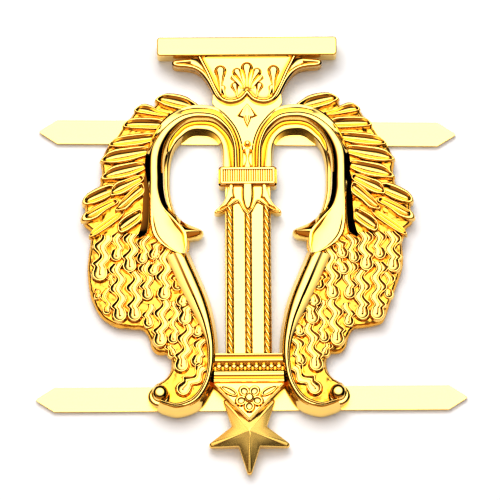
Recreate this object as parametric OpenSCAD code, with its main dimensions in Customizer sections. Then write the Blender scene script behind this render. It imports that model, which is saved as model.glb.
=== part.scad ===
// Lodge jewel: a cast lyre with two wings, two bird necks, a column and a star, and two flat
// prong strips on its back. It lies on its strips: front up, top bar towards +Y, strips on Z = 0.
// The relief is laid out in modules, as a column's parts are: one module across is a fixed share
// of the casting's width, and one module along is a fixed share of its height.

/* [Overall] */
// Height of the casting, from the top of the bar to the point of the star
body_h = 71; // [60:1:80]
// Width of the casting, across both wings
body_w = 53.6; // [46:0.4:60]

/* [Prong strips] */
// Thickness of both strips
strip_t = 0.8; // [0.5:0.05:1.2]
// Width of both strips
strip_w = 3.9; // [3:0.1:4.5]
// Length of the pointed part at each end of a strip
point_l = 2.9; // [1.5:0.1:4]
// Radius of the blunt tip of a point
point_r = 0.3; // [0.2:0.05:0.5]
// Length of the upper strip, point to point
upper_strip_l = 66.8; // [60:0.2:70]
// Length of the lower strip, point to point
lower_strip_l = 68.5; // [62:0.5:70]
// How far the lower strip sits to the right of the middle
lower_strip_shift = 0.4; // [0:0.1:0.8]
// Turn of the upper strip against the casting, in degrees
upper_strip_tilt = -0.8; // [-1.5:0.1:1.5]
// Gap between a strip and the casting's back, and round each stud
fit_gap = 0.05; // [0.03:0.01:0.1]

/* [Studs] */
// Radius of a stud's shank
stud_r = 0.75; // [0.5:0.05:1]
// Radius of a stud's peened head
stud_head_r = 1.15; // [1.05:0.05:1.4]
// Depth of the countersink that the peened head fills
stud_head_t = 0.3; // [0.2:0.05:0.4]
// Distance between the studs of the upper strip
upper_stud_span = 34; // [30:0.5:38]
// Distance between the studs of the lower strip
lower_stud_span = 23; // [20:0.5:26]

/* [Thicknesses of the casting] */
// Wing plate
wing_t = 1.35; // [1:0.05:1.8]
// Feathers above the wing plate
feather_rise = 1.05; // [0.6:0.05:1.4]
// Depth of the channel down a feather
feather_dip = 0.4; // [0.2:0.05:0.5]
// Locks above the wing plate
lock_rise = 0.85; // [0.5:0.05:1.2]
// Depth of the groove down a lock
lock_dip = 0.4; // [0.2:0.05:0.5]
// Crest of the necks
neck_t = 3.95; // [3.2:0.05:4.5]
// Lower lip on the inside of the arches
lip_t = 2.3; // [1.6:0.05:2.8]
// Crest of the lower arms
arm_t = 3.5; // [2.8:0.05:4.2]
// Ball at the end of a lower arm
ball_r = 1.15; // [0.9:0.05:1.4]
// Top bar
bar_t = 3.45; // [2.8:0.05:4]
// Raised border of the capital
capital_t = 2.95; // [2.3:0.05:3.4]
// Relief of the capital's ornament above its field
ornament_rise = 0.6; // [0.4:0.05:0.9]
// Shield plate between the arches
shield_t = 2.05; // [1.6:0.05:2.4]
// Flat flutes of the column
column_t = 1.95; // [1.5:0.05:2.4]
// Ropes above the flutes
rope_rise = 0.65; // [0.4:0.05:0.9]
// Band across the column
band_t = 3.35; // [2.8:0.05:4]
// Lily ornament under the band
lily_t = 3; // [2.4:0.05:3.6]
// Base mouldings
base_t = 2.55; // [2:0.05:3.2]
// Cartouche under the base
cartouche_t = 3.0; // [2.4:0.05:3.6]
// Middle of the star
star_t = 3.35; // [2.6:0.05:4]
// Edge of the star
star_edge_t = 1.2; // [0.8:0.05:1.6]

/* [Parts of the middle] */
// Length of the top bar
bar_l = 28.8; // [24:0.2:32]
// Height of the top bar's front face
bar_w = 3.05; // [2.4:0.05:3.6]
// Corner radius of the top bar
bar_r = 0.45; // [0.2:0.05:0.8]
// Width of the column's shaft
column_w = 7.3; // [6:0.1:7.8]
// Width of a rope
rope_w = 1.25; // [0.8:0.05:1.5]
// Distance between two strands of a rope
rope_pitch = 0.72; // [0.6:0.02:1.2]
// Width of the band
band_w = 9.4; // [8.6:0.1:9.8]
// Height of the band's front face
band_h = 3; // [2.4:0.05:3.4]
// Distance between two ribs of the band's panel
rib_pitch = 0.36; // [0.3:0.02:0.6]
// Radius of a bead in the base
bead_r = 0.4; // [0.3:0.02:0.45]
// Number of beads in the base
bead_count = 9; // [5:1:11]
// Radius of the star, middle to point
star_r = 6.65; // [5.6:0.05:7]

/* [Hidden] */

// One module across and one along
module_x = body_w / 53.6;
module_y = body_h / 71;

// Heights above the surface that the jewel lies on
back_z = strip_t + fit_gap;
plate_z = back_z + wing_t;
feather_z = plate_z + feather_rise;
lock_z = plate_z + lock_rise;
neck_z = back_z + neck_t;
lip_z = back_z + lip_t;
arm_z = back_z + arm_t;
bar_z = back_z + bar_t;
capital_z = back_z + capital_t;
shield_z = back_z + shield_t;
column_z = back_z + column_t;
band_z = back_z + band_t;
lily_z = back_z + lily_t;
base_z = back_z + base_t;
cartouche_z = back_z + cartouche_t;
star_z = back_z + star_t;
star_edge_z = back_z + star_edge_t;

// Places along the axis, in modules up from the middle
BAR_TOP = 35.5;
BAND_MIDDLE = 12.65;
BASE_TOP = -16.4;
BASE_BOTTOM = -21.5;
STAR_MIDDLE = -28.85;
LILY_POINT = 6.1;
UPPER_STRIP_V = 20.45;
LOWER_STRIP_V = -23.05;

gold = "#e8b923";
pale_gold = "#f3e7a0";
satin_gold = "#d9a52e";

// A place on the relief, from modules to millimetres
function at(u, v) = [u * module_x, v * module_y];
function mix(a, b, share) = a + (b - a) * share;
function unit(d) = d / norm(d);
function across(d) = [-d[1], d[0]];
function raised(p, z) = [p[0], p[1], z];
function layout(points) = [for (p = points) at(p[0], p[1])];

// Catmull-Rom curve through the rows of a table, whatever the rows hold
function between(a, b, c, d, t) =
    (2 * b + (c - a) * t + (2 * a - 5 * b + 4 * c - d) * t * t + (3 * b - a - 3 * c + d) * t * t * t) / 2;
function smooth(rows, steps) = [
    for (i = [0:len(rows) - 2])
        for (s = [0:steps - 1])
            between(rows[max(i - 1, 0)], rows[i], rows[i + 1], rows[min(i + 2, len(rows) - 1)], s / steps),
    rows[len(rows) - 1]
];

// Solid through rings of equal count, closed at both ends
module skin(rings) {
    count = len(rings[0]);
    last = len(rings) - 1;
    sides = [
        for (i = [0:last - 1])
            for (k = [0:count - 1])
                let (a = i * count + k, b = i * count + (k + 1) % count)
                    each [[a, b, b + count], [a, b + count, a + count]]
    ];
    caps = [[for (k = [count - 1:-1:0]) k], [for (k = [0:count - 1]) last * count + k]];
    polyhedron([for (ring = rings) each ring], concat(sides, caps));
}

module both_sides() {
    children();
    mirror([1, 0, 0]) children();
}

// Plate from the casting's back up to a height, with its front edge set in by a bevel
module plate(points, top_z, bevel = 0) {
    translate([0, 0, back_z])
        linear_extrude(top_z - back_z - bevel)
            polygon(points);
    if (bevel > 0)
        translate([0, 0, top_z - bevel - 0.01])
            linear_extrude(bevel + 0.01)
                offset(delta = -bevel)
                    polygon(points);
}

// Top bar

module bar() {
    bevel = bar_r / 3;
    color(gold)
        translate([0, BAR_TOP * module_y - bar_w / 2, 0])
            hull() {
                translate([0, 0, back_z])
                    bar_slice(0, bar_t - bevel);
                translate([0, 0, bar_z - bevel])
                    bar_slice(bevel, bevel);
            }
}

module bar_slice(inset, height) {
    reach_x = bar_l / 2 - bar_r;
    reach_y = bar_w / 2 - bar_r;
    for (x = [-reach_x, reach_x])
        for (y = [-reach_y, reach_y])
            translate([x, y, 0])
                cylinder(r = bar_r - inset, h = height, $fn = 16);
}

// Capital

CAPITAL_EDGE = [
    [0, 25.9], [1.35, 24.7], [2.75, 24.4], [3.8, 24.65], [4.8, 25.2], [5.5, 26.3], [6.4, 28.1],
    [7.5, 29.7], [8.7, 30.45], [11.5, 30.75], [12.1, 31.3], [11.7, 31.9], [9, 32]
];
CAPITAL_FIELD = [[1.2, 25.5], [2.75, 25.1], [4.1, 25.8], [4.9, 27.2], [7.1, 31.8]];
UNDER_BAR = [[0, 31], [11, 31], [11, 33.5]];
// Ornament lobes of the right half: foot u, foot v, head u, head v, head radius
ORNAMENT = [
    [0, 27.4, 0, 30.3, 0.8],
    [0.3, 28, 2.1, 29.6, 0.6],
    [3.5, 26.2, 4.3, 30.1, 0.75],
    [2.3, 25.6, 2.7, 26.8, 0.4]
];

// Whole outline from its right half, whose points on the axis stay single
function mirrored(half) = concat(
    half,
    [for (i = [len(half) - 1:-1:0]) if (half[i][0] != 0) [-half[i][0], half[i][1]]]
);

module capital() {
    edge = layout(mirrored(CAPITAL_EDGE));
    field = layout(mirrored(CAPITAL_FIELD));
    field_z = capital_z - ornament_rise;
    color(gold) {
        difference() {
            plate(edge, capital_z);
            translate([0, 0, field_z])
                linear_extrude(capital_t)
                    polygon(field);
        }
        translate([0, 0, back_z])
            linear_extrude(field_z - back_z - ornament_rise)
                polygon(layout(mirrored(UNDER_BAR)));
        both_sides()
            for (row = ORNAMENT)
                ornament_lobe(at(row[0], row[1]), at(row[2], row[3]), row[4] * module_x, field_z);
    }
}

module ornament_lobe(foot, head, radius, floor_z) {
    sink = 0.1;
    hull() {
        translate(raised(foot, floor_z - sink))
            cylinder(r = radius / 3, h = ornament_rise / 2 + sink, $fn = 6);
        translate(raised(head, floor_z - sink))
            cylinder(r1 = radius, r2 = radius / 2, h = ornament_rise + sink, $fn = 8);
    }
}

// Shield plate between the arches, with its spade

SHIELD = [[0, 26.4], [5.4, 26.4], [5.6, 24.9], [4.5, 23.2], [2.4, 20.8], [1.4, 18.2], [1.2, 14], [0, 13]];
SPADE = [[0, 24.9], [1.7, 22.9], [1.2, 22.3], [0.75, 22.6], [0, 20.8]];
PEARL = [0, 18];
DROP = [0, 16.3];

module shield() {
    spade_rise = ornament_rise / 2;
    pearl_r = 0.45;
    drop_r = 0.7;
    color(pale_gold) {
        plate(layout(mirrored(SHIELD)), shield_z);
        translate([0, 0, shield_z - spade_rise])
            linear_extrude(2 * spade_rise)
                polygon(layout(mirrored(SPADE)));
        translate(raised(at(PEARL[0], PEARL[1]), shield_z))
            sphere(r = pearl_r, $fn = 8);
        translate(raised(at(DROP[0], DROP[1]), back_z))
            cylinder(r1 = drop_r, r2 = 0.7 * drop_r, h = shield_t + spade_rise, $fn = 8);
    }
}

// Arch, neck and head

// Stations from the band over the arch and down the neck: outer edge u and v, inner edge u and
// v, then shares of the way across for rim, groove, ridge start, crest, ridge end, foot and lip
ARCH = [
    [0.95, 13.4, 4.15, 13.4, 0.12, 0.17, 0.20, 0.28, 0.38, 0.50, 0.60],
    [0.65, 18.5, 4.40, 17.6, 0.12, 0.17, 0.21, 0.29, 0.40, 0.55, 0.65],
    [2.10, 21.3, 5.00, 19.1, 0.12, 0.17, 0.21, 0.30, 0.42, 0.60, 0.70],
    [4.10, 23.7, 6.10, 20.0, 0.11, 0.17, 0.21, 0.30, 0.45, 0.66, 0.77],
    [6.60, 24.7, 7.50, 20.3, 0.11, 0.17, 0.21, 0.30, 0.45, 0.70, 0.80],
    [9.60, 24.4, 9.00, 20.0, 0.10, 0.16, 0.21, 0.30, 0.46, 0.69, 0.80],
    [12.20, 23.1, 10.40, 19.0, 0.09, 0.15, 0.21, 0.31, 0.47, 0.68, 0.79],
    [14.30, 20.9, 11.50, 17.6, 0.07, 0.14, 0.21, 0.33, 0.50, 0.67, 0.78],
    [15.70, 18.1, 12.20, 16.2, 0.05, 0.13, 0.21, 0.36, 0.54, 0.69, 0.81],
    [16.50, 15.0, 12.55, 14.5, 0.04, 0.15, 0.23, 0.40, 0.58, 0.74, 0.86],
    [17.10, 8.3, 11.95, 9.2, 0.04, 0.20, 0.28, 0.45, 0.62, 0.82, 0.92],
    [17.10, 5.2, 10.60, 6.9, 0.04, 0.20, 0.26, 0.42, 0.60, 0.84, 0.93]
];
OUTER_U = 0;
OUTER_V = 1;
INNER_U = 2;
INNER_V = 3;
RIM = 4;
GROOVE = 5;
RIDGE_START = 6;
CREST = 7;
RIDGE_END = 8;
FOOT = 9;
LIP = 10;

HEAD = [
    [14.2, 10.2], [15.4, 8.6], [15.6, 6.2], [15.4, 3.8], [14.4, 2], [12.5, 0.3], [10.6, -0.8],
    [10, -1.2], [9.7, 0.6], [9.6, 2.9], [11.1, 5.2], [13, 7.8]
];
BEAK = [
    [13.2, 7.8], [11.3, 7.6], [10.6, 6.8], [9.6, 5.8], [7.8, 4.8], [6.95, 4.1], [6.95, 3.5], [7.7, 2.8],
    [9.3, 1.9], [9.35, 0.5], [12, 0.9], [13.8, 3]
];
TAIL = [[15.4, 6.3], [16.9, 6.3], [17.3, 3.6], [17.8, 1.9], [16.7, 2.4], [15.2, 3.4]];

function arch_ring(row) =
    let (
        outer = at(row[OUTER_U], row[OUTER_V]),
        inner = at(row[INNER_U], row[INNER_V]),
        round_off = 0.35,
        groove_depth = 0.4,
        rim_z = mix(shield_z, lip_z, 0.5) + round_off,
        shoulder_z = neck_z - groove_depth,
        heights = [
            [1, back_z], [1, lip_z - round_off], [row[LIP], lip_z], [row[FOOT], lip_z - round_off / 2],
            [row[RIDGE_END], shoulder_z], [row[CREST], neck_z], [row[RIDGE_START], shoulder_z],
            [row[GROOVE], rim_z - groove_depth], [row[RIM], rim_z], [0, rim_z], [0, back_z]
        ]
    )
    [for (h = heights) raised(mix(outer, inner, h[0]), h[1])];

module neck() {
    head_z = neck_z - 0.2;
    beak_z = lip_z - 0.1;
    color(gold) {
        skin([for (row = smooth(ARCH, 2)) arch_ring(row)]);
        plate(layout(HEAD), head_z);
        plate(layout(BEAK), beak_z);
        plate(layout(TAIL), beak_z);
    }
}

// Wing

// Edge of the wing plate from the arch round the feather tips to the lobe
FEATHER_EDGE = [
    [10.5, 23], [11.5, 25.4], [14.2, 25.4], [15.2, 24.4], [17.8, 24], [18.5, 23], [19.7, 21.8],
    [20.5, 20.4], [22.2, 18.6], [22.9, 17.1], [23.5, 15.4], [23.3, 14.1], [23.5, 12.5], [23.9, 11.4],
    [25.9, 10], [26.2, 8.4], [26, 7.3], [26.4, 6.2], [26.1, 5.1], [25.1, 4.2], [25.1, 3.2]
];
LOBE_RIGHT = [[24.6, 2.3], [24.6, -1.9], [23.9, -4.2], [23, -6.6], [22.4, -8.2], [21.7, -10.2], [20.9, -11.2]];
LOBE_LEFT = [[25.2, 2], [25.6, -1.2], [25.5, -4], [25.1, -6.4], [24.3, -8.5], [23.1, -10.2], [21.6, -11.2]];
// Edge of the wing plate from the lobe down to the ball, then back up under arm and neck
LOWER_EDGE = [
    [16.8, -12], [15.9, -13.2], [15.4, -15], [14.4, -15.9], [12.7, -16.1], [12.3, -17.4], [12.6, -19],
    [13.5, -20.1], [15.2, -21.3], [14.2, -24.2], [9.6, -24.6], [7, -22.2], [5.7, -18], [5.8, -14],
    [7, -9], [8.6, -4.5], [10, -0.5], [11, 2.5], [13, 6], [14, 10], [14.3, 14], [13.4, 17.6], [12, 20]
];

// Feathers: tip u, tip v, root u, root v, half width
FEATHERS = [
    [14.9, 25.5, 8, 24.2, 1.1],
    [18.1, 23.9, 12, 22.6, 0.85],
    [20.1, 21.2, 13.4, 21.6, 0.8],
    [22.6, 18, 15.4, 18.8, 0.95],
    [23.8, 15.5, 16, 16.7, 1.1],
    [23.8, 12.3, 16.2, 15.2, 0.95],
    [22.1, 9.6, 16.4, 12.4, 0.85],
    [26.7, 8.6, 20.8, 11, 1],
    [21.2, 7.1, 16.6, 10.6, 0.7],
    [26.9, 5.8, 21, 8.6, 1],
    [25.4, 3, 19, 6.9, 0.8],
    [20.8, 3.6, 16.8, 6.9, 0.85]
];
TIP_U = 0;
TIP_V = 1;
ROOT_U = 2;
ROOT_V = 3;
HALF_W = 4;
// Sections of a feather: share of its length, share of its half width
FEATHER_SECTIONS = [[0, 0.8], [0.4, 1], [0.8, 0.8], [0.97, 0.3]];

// Locks: root u, root v, drop u, drop v, side that the first bend goes to
LOCKS = [
    [19, 2.7, 18.85, -2.05, 1],
    [23.5, 2.6, 23.1, -2.2, 1],
    [13.8, -0.6, 13.55, -6.55, -1],
    [15.6, 1.4, 16.2, -2.7, 1],
    [18.4, -3.5, 18, -10, -1],
    [21.2, -2.2, 20.4, -10.05, 1],
    [10.7, -6.2, 10.15, -10.8, 1],
    [14.2, -7.7, 14.05, -14.1, 1],
    [10.3, -12.4, 10.75, -18.5, 1],
    [7.9, -18.8, 10.4, -22.2, 1],
    [8.4, -10.8, 8, -13.2, 1],
    [21.2, 2.4, 21, -0.8, -1]
];
BEND = 4;
// Sections of a lock: share of its length, share of its half width
LOCK_SECTIONS = [[0, 0.5], [0.2, 0.66], [0.4, 0.66], [0.6, 0.66], [0.8, 0.7], [1, 1], [1.15, 0.5]];
LOCK_HALF_W = 0.98;
LOCK_SWING = 0.32;
LOCK_BENDS = 1.25;
LOCK_STRAIGHT = 0.9;

// Ring across a raised strip: both edges rise to a rim, and the middle dips
RIM_SHARE = 0.78;
function relief_ring(middle, side, half, floor_z, rim_z, dip) = [
    for (h = [[-1, floor_z], [-RIM_SHARE, rim_z], [0, rim_z - dip], [RIM_SHARE, rim_z], [1, floor_z]])
        raised(middle + side * half * h[0], h[1])
];

module feather(row) {
    root = at(row[ROOT_U], row[ROOT_V]);
    tip = at(row[TIP_U], row[TIP_V]);
    side = across(unit(tip - root));
    skin([
        for (s = FEATHER_SECTIONS)
            relief_ring(
                mix(root, tip, s[0]), side, row[HALF_W] * s[1] * module_y, back_z, feather_z, feather_dip * s[1]
            )
    ]);
}

module lock(row) {
    root = at(row[0], row[1]);
    drop = at(row[2], row[3]);
    side = across(unit(drop - root));
    sink = 0.15;
    skin([
        for (s = LOCK_SECTIONS)
            let (swing = s[0] < LOCK_STRAIGHT ? LOCK_SWING * row[BEND] * sin(360 * LOCK_BENDS * s[0]) : 0)
                relief_ring(
                    mix(root, drop, s[0]) + side * swing * module_x, side, LOCK_HALF_W * s[1] * module_x,
                    plate_z - sink, lock_z, lock_dip
                )
    ]);
}

module wing(lobe) {
    color(gold) {
        plate(layout(concat(FEATHER_EDGE, lobe, LOWER_EDGE)), plate_z);
        for (row = FEATHERS)
            feather(row);
        for (row = LOCKS)
            lock(row);
    }
}

// Lower arm

// Stations from the head down to the ball: edge towards the column u and v, edge towards the
// wing u and v, share of the way across where the crest lies
ARM = [
    [9.3, 1.2, 12.8, -0.4, 0.5],
    [7.5, -3.2, 11.1, -4.9, 0.6],
    [6.1, -7.1, 9.4, -8.3, 0.6],
    [5.3, -11, 7.7, -11.5, 0.6],
    [4.85, -14.8, 6.6, -14.9, 0.6],
    [5.05, -18.4, 6.3, -18.1, 0.6],
    [5.75, -21.8, 7, -21.2, 0.6],
    [7.8, -25, 8.9, -23.2, 0.6],
    [11.2, -26.2, 11.4, -24.2, 0.6],
    [14.4, -25.3, 13.6, -23.6, 0.6]
];
BALL = [14.25, -22.9];

function arm_ring(row) =
    let (
        near = at(row[0], row[1]),
        far = at(row[2], row[3]),
        crest = row[4],
        shoulder = 0.3 * crest + 0.1,
        near_z = back_z + 0.4 * arm_t,
        far_z = plate_z + 0.2,
        shoulder_z = arm_z - 0.5,
        heights = [
            [0, back_z], [0, near_z], [shoulder, shoulder_z], [crest, arm_z],
            [mix(crest, 1, 0.5), arm_z - 0.3], [1, far_z], [1, back_z]
        ]
    )
    [for (h = heights) raised(mix(near, far, h[0]), h[1])];

module arm() {
    boss_r = 1.5 * ball_r;
    draft = 0.15;
    ball_z = lip_z + 0.2;
    color(gold) {
        skin([for (row = smooth(ARM, 2)) arm_ring(row)]);
        translate(raised(at(BALL[0], BALL[1]), back_z))
            cylinder(r1 = boss_r, r2 = boss_r - draft, h = lip_t, $fn = 20);
        translate(raised(at(BALL[0], BALL[1]), ball_z))
            sphere(r = ball_r, $fn = 10);
    }
}

// Column, band and lily

// Shaft: rings across the flutes and the three ropes, which lean by one strand, with every
// second ring pulled in between two strands
module column() {
    top = LILY_POINT * module_y + 2 * rope_pitch;
    bottom = BASE_TOP * module_y + rope_pitch / 3;
    strands = floor((top - bottom) / rope_pitch);
    lean = 0.7 * rope_w;
    waist = 0.6;
    half = column_w / 2;
    color(pale_gold)
        skin([
            for (i = [0:2 * strands])
                let (
                    ends = i == 0 || i == 2 * strands,
                    y = top - i * (top - bottom) / (2 * strands) + (i == 0 ? lean : ends ? -lean : 0),
                    crest = column_z + rope_rise * (i % 2 == 0 ? waist : 1),
                    rope = [[-rope_w / 2, column_z], [0, crest], [rope_w / 2, column_z]],
                    profile = concat(
                        [[-half, back_z]],
                        [for (x = [rope_w / 2 - half, 0, half - rope_w / 2]) for (p = rope) [x + p[0], p[1], p[0]]],
                        [[half, back_z]]
                    )
                )
                    [for (p = profile) [p[0], y - (ends || p[2] == undef ? 0 : p[2] * lean), p[1]]]
        ]);
}

module band() {
    side_border = 0.75;
    end_border = 0.6;
    bevel = 0.2;
    sunk = 0.3;
    panel_w = band_w - 2 * side_border;
    panel_h = band_h - 2 * end_border;
    ribs = floor(panel_w / rib_pitch);
    color(gold)
        translate([0, BAND_MIDDLE * module_y, 0]) {
            difference() {
                plate([for (p = [[-1, -1], [1, -1], [1, 1], [-1, 1]]) [p[0] * band_w, p[1] * band_h] / 2], band_z, bevel);
                translate([-panel_w / 2, -panel_h / 2, band_z - sunk])
                    cube([panel_w, panel_h, band_t]);
            }
            for (i = [0:ribs - 1])
                translate([(i - (ribs - 1) / 2) * rib_pitch - rib_pitch / 4, -panel_h / 2, band_z - 2 * sunk])
                    cube([rib_pitch / 2, panel_h, 1.6 * sunk]);
        }
}

LILY_MIDDLE = [[0, 6.9], [-1.15, 9.4], [-1, 11.6], [1, 11.6], [1.15, 9.4]];
LILY_LEAVES = [
    [0, LILY_POINT], [0.9, 7], [1.6, 8.3], [2.9, 7.5], [4.3, 6.7], [5.4, 6.9], [5.3, 7.5], [4, 8.6],
    [3.4, 10], [3.3, 11.6]
];

module lily() {
    bevel = 0.15;
    leaf_z = lily_z - 0.4;
    color(gold) {
        translate([-column_w / 2, LILY_POINT * module_y, back_z])
            cube([column_w, (BAND_MIDDLE - LILY_POINT) * module_y, column_t]);
        plate(layout(mirrored(LILY_LEAVES)), leaf_z, bevel);
        plate(layout(LILY_MIDDLE), lily_z, bevel);
    }
}

// Base mouldings, cartouche and star

// Mouldings of the base: middle v, width along v, height above the base
MOULDINGS = [[-16.7, 0.4, 0.35], [-17.3, 0.4, 0.2], [-19.3, 0.3, 0.2], [-19.8, 0.3, 0.3], [-20.5, 0.45, 0.35]];
BASE_HALF = 5.2;
BASE_PLATE = [[0, BASE_TOP], [BASE_HALF, BASE_TOP], [6, BASE_BOTTOM]];
BEADS_V = -18.3;
BEADS_HALF = 4.8;
CARTOUCHE = [[-5.8, -21.2], [5.8, -21.2], [0, -27.5]];
CARTOUCHE_FIELD = [[-4.5, -21.4], [4.5, -21.4], [0, -26.3]];
FLOWER = [0, -23.6];
// Leaf beside the flower: u, v, radius
LEAF = [[2.5, -22.9, 0.2], [3.2, -22.1, 0.5], [4, -21.8, 0.2]];

module base() {
    bead_pitch = 2 * BEADS_HALF * module_x / bead_count;
    color(gold) {
        plate(layout(mirrored(BASE_PLATE)), base_z);
        for (row = MOULDINGS)
            translate([-BASE_HALF * module_x, (row[0] - row[1] / 2) * module_y, back_z])
                cube([2 * BASE_HALF * module_x, row[1] * module_y, base_t + row[2]]);
        for (i = [0:bead_count - 1])
            translate([(i - (bead_count - 1) / 2) * bead_pitch, BEADS_V * module_y, base_z])
                sphere(r = bead_r, $fn = 8);
    }
}

module cartouche() {
    bevel = 0.15;
    sunk = 0.5;
    field_z = cartouche_z - sunk;
    root_z = field_z - 0.1;
    petal_reach = 1.05;
    petal_r = 0.75;
    middle_r = 0.7;
    middle_rise = 0.9;
    color(gold) {
        difference() {
            plate(layout(CARTOUCHE), cartouche_z, bevel);
            translate([0, 0, field_z])
                linear_extrude(cartouche_t)
                    polygon(layout(CARTOUCHE_FIELD));
        }
        translate(raised(at(FLOWER[0], FLOWER[1]), root_z))
            for (i = [0:4])
                rotate([0, 0, 54 + 72 * i])
                    translate([petal_reach * module_x, 0, 0])
                        scale([1, 0.85, 1])
                            cylinder(r1 = petal_r, r2 = 0.7 * petal_r, h = sunk + bevel, $fn = 7);
        translate(raised(at(FLOWER[0], FLOWER[1]), field_z))
            cylinder(r1 = middle_r, r2 = middle_r / 2, h = middle_rise, $fn = 9);
        both_sides()
            hull()
                for (p = LEAF)
                    translate(raised(at(p[0], p[1]), root_z))
                        cylinder(r = p[2], h = sunk, $fn = 6);
    }
}

// Star: ridges run from the raised middle to the tips, and the edge stands on sloped walls
module star() {
    notch = 0.43;
    draft = 0.2;
    ring = [
        for (i = [0:9])
            let (
                radius = i % 2 == 0 ? star_r : star_r * notch,
                angle = -90 + 36 * i
            )
                [radius * cos(angle), radius * sin(angle)]
    ];
    points = concat(
        [for (p = ring) raised(p, back_z)],
        [for (p = ring) raised(p * (1 - draft / norm(p)), star_edge_z)],
        [[0, 0, star_z]]
    );
    faces = concat(
        [[for (i = [0:9]) i]],
        [for (i = [0:9]) let (j = (i + 1) % 10) each [[i, i + 10, j + 10], [i, j + 10, j]]],
        [for (i = [0:9]) [i + 10, 20, (i + 1) % 10 + 10]]
    );
    color(satin_gold)
        translate([0, STAR_MIDDLE * module_y, 0])
            polyhedron(points, faces);
}

// Studs: a shank through the strip, spread in the countersink

module stud() {
    root = 0.5;
    cylinder(r = stud_r, h = back_z + root, $fn = 24);
    cylinder(r1 = stud_head_r, r2 = stud_r, h = stud_head_t, $fn = 24);
}

module at_upper_strip() {
    translate([0, UPPER_STRIP_V * module_y, 0])
        rotate([0, 0, upper_strip_tilt])
            children();
}

module at_lower_strip() {
    translate([0, LOWER_STRIP_V * module_y, 0])
        children();
}

module stud_pair(span) {
    for (side = [-1, 1])
        translate([side * span / 2, 0, 0])
            stud();
}

module casting() {
    bar();
    capital();
    shield();
    both_sides() {
        neck();
        arm();
    }
    wing(LOBE_RIGHT);
    mirror([1, 0, 0])
        wing(LOBE_LEFT);
    column();
    band();
    lily();
    base();
    cartouche();
    star();
    color(gold) {
        at_upper_strip()
            stud_pair(upper_stud_span);
        at_lower_strip()
            stud_pair(lower_stud_span);
    }
}

// Prong strips

// Outline of a strip: a flat band whose ends taper to blunt points
module strip_outline(length) {
    reach = length / 2;
    shoulder = reach - point_l;
    half = strip_w / 2;
    polygon([
        [-shoulder, -half], [shoulder, -half], [reach - point_r, -point_r], [reach, 0], [reach - point_r, point_r],
        [shoulder, half], [-shoulder, half], [point_r - reach, point_r], [-reach, 0], [point_r - reach, -point_r]
    ]);
}

// Strip with a countersunk hole round each stud
module strip(length, span, shift) {
    difference() {
        translate([shift, 0, 0])
            linear_extrude(strip_t)
                strip_outline(length);
        for (side = [-1, 1])
            translate([side * span / 2, 0, 0])
                stud_hole();
    }
}

module stud_hole() {
    hole_r = stud_r + fit_gap;
    sink_r = stud_head_r + fit_gap;
    reach = 1;
    flare = (stud_head_r - stud_r) / stud_head_t;
    translate([0, 0, -reach])
        cylinder(r = hole_r, h = strip_t + 2 * reach, $fn = 48);
    translate([0, 0, -reach])
        cylinder(r1 = sink_r + flare * (reach + fit_gap), r2 = hole_r, h = stud_head_t + reach + fit_gap, $fn = 48);
}

module upper_strip() {
    color(pale_gold)
        at_upper_strip()
            strip(upper_strip_l, upper_stud_span, 0);
}

module lower_strip() {
    color(pale_gold)
        at_lower_strip()
            strip(lower_strip_l, lower_stud_span, lower_strip_shift);
}

casting();
upper_strip();
lower_strip();
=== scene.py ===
"""Gilt lodge jewel: a winged lyre with a column, a beaded base and a star, on two prong strips."""

import logging
import math
from dataclasses import dataclass
from enum import Enum
from typing import Iterable, Sequence

import bmesh
import bpy
from mathutils import Matrix, Vector


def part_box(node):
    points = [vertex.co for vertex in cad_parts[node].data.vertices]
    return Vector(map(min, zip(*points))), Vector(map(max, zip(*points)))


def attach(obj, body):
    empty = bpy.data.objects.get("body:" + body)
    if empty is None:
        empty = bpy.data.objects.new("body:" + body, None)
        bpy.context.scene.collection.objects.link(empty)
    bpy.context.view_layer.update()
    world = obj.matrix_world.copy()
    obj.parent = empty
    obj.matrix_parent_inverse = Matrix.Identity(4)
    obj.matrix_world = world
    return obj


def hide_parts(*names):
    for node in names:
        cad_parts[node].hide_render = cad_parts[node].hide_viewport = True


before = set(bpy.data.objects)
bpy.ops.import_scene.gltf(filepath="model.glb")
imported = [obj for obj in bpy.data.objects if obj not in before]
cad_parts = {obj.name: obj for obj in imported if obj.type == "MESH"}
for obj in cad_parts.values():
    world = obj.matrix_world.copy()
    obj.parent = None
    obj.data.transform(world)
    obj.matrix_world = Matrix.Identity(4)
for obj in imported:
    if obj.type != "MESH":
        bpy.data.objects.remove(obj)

Point = tuple[float, float, float]
Place = tuple[float, float]
Ring = list[Point]
Step = tuple[float, float | list[float]]

LOG = logging.getLogger("jewel")
MM = 0.001
CASTING = "casting"
STRIPS = ("upper_strip", "lower_strip")
# Points this close in metres are welded, and shorter edges are dropped
WELD = 1e-7
SLIVER = 1e-8
# How far the corner of an inset outline may reach, in insets
MITRE = 2.5
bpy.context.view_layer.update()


# Directions, curves and outlines


def heading(degrees: float) -> Vector:
    """The direction at an angle, counted from the right."""
    angle = math.radians(degrees)
    return Vector((math.cos(angle), math.sin(angle)))


def left_of(way: Vector) -> Vector:
    """The direction a quarter turn to the left of another."""
    return Vector((-way.y, way.x))


def between(a: Sequence, b: Sequence, c: Sequence, d: Sequence, t: float) -> tuple[float, ...]:
    """A row of the Catmull-Rom curve between two rows of a table.

    Args:
        a: the row before them.
        b: the first of them.
        c: the second.
        d: the row after them.
        t: share of the way from b to c.

    Returns:
        The row of the curve.
    """
    return tuple(
        (2 * q + (r - p) * t + (2 * p - 5 * q + 4 * r - s) * t**2 + (3 * q - p - 3 * r + s) * t**3) / 2
        for p, q, r, s in zip(a, b, c, d)
    )


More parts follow.
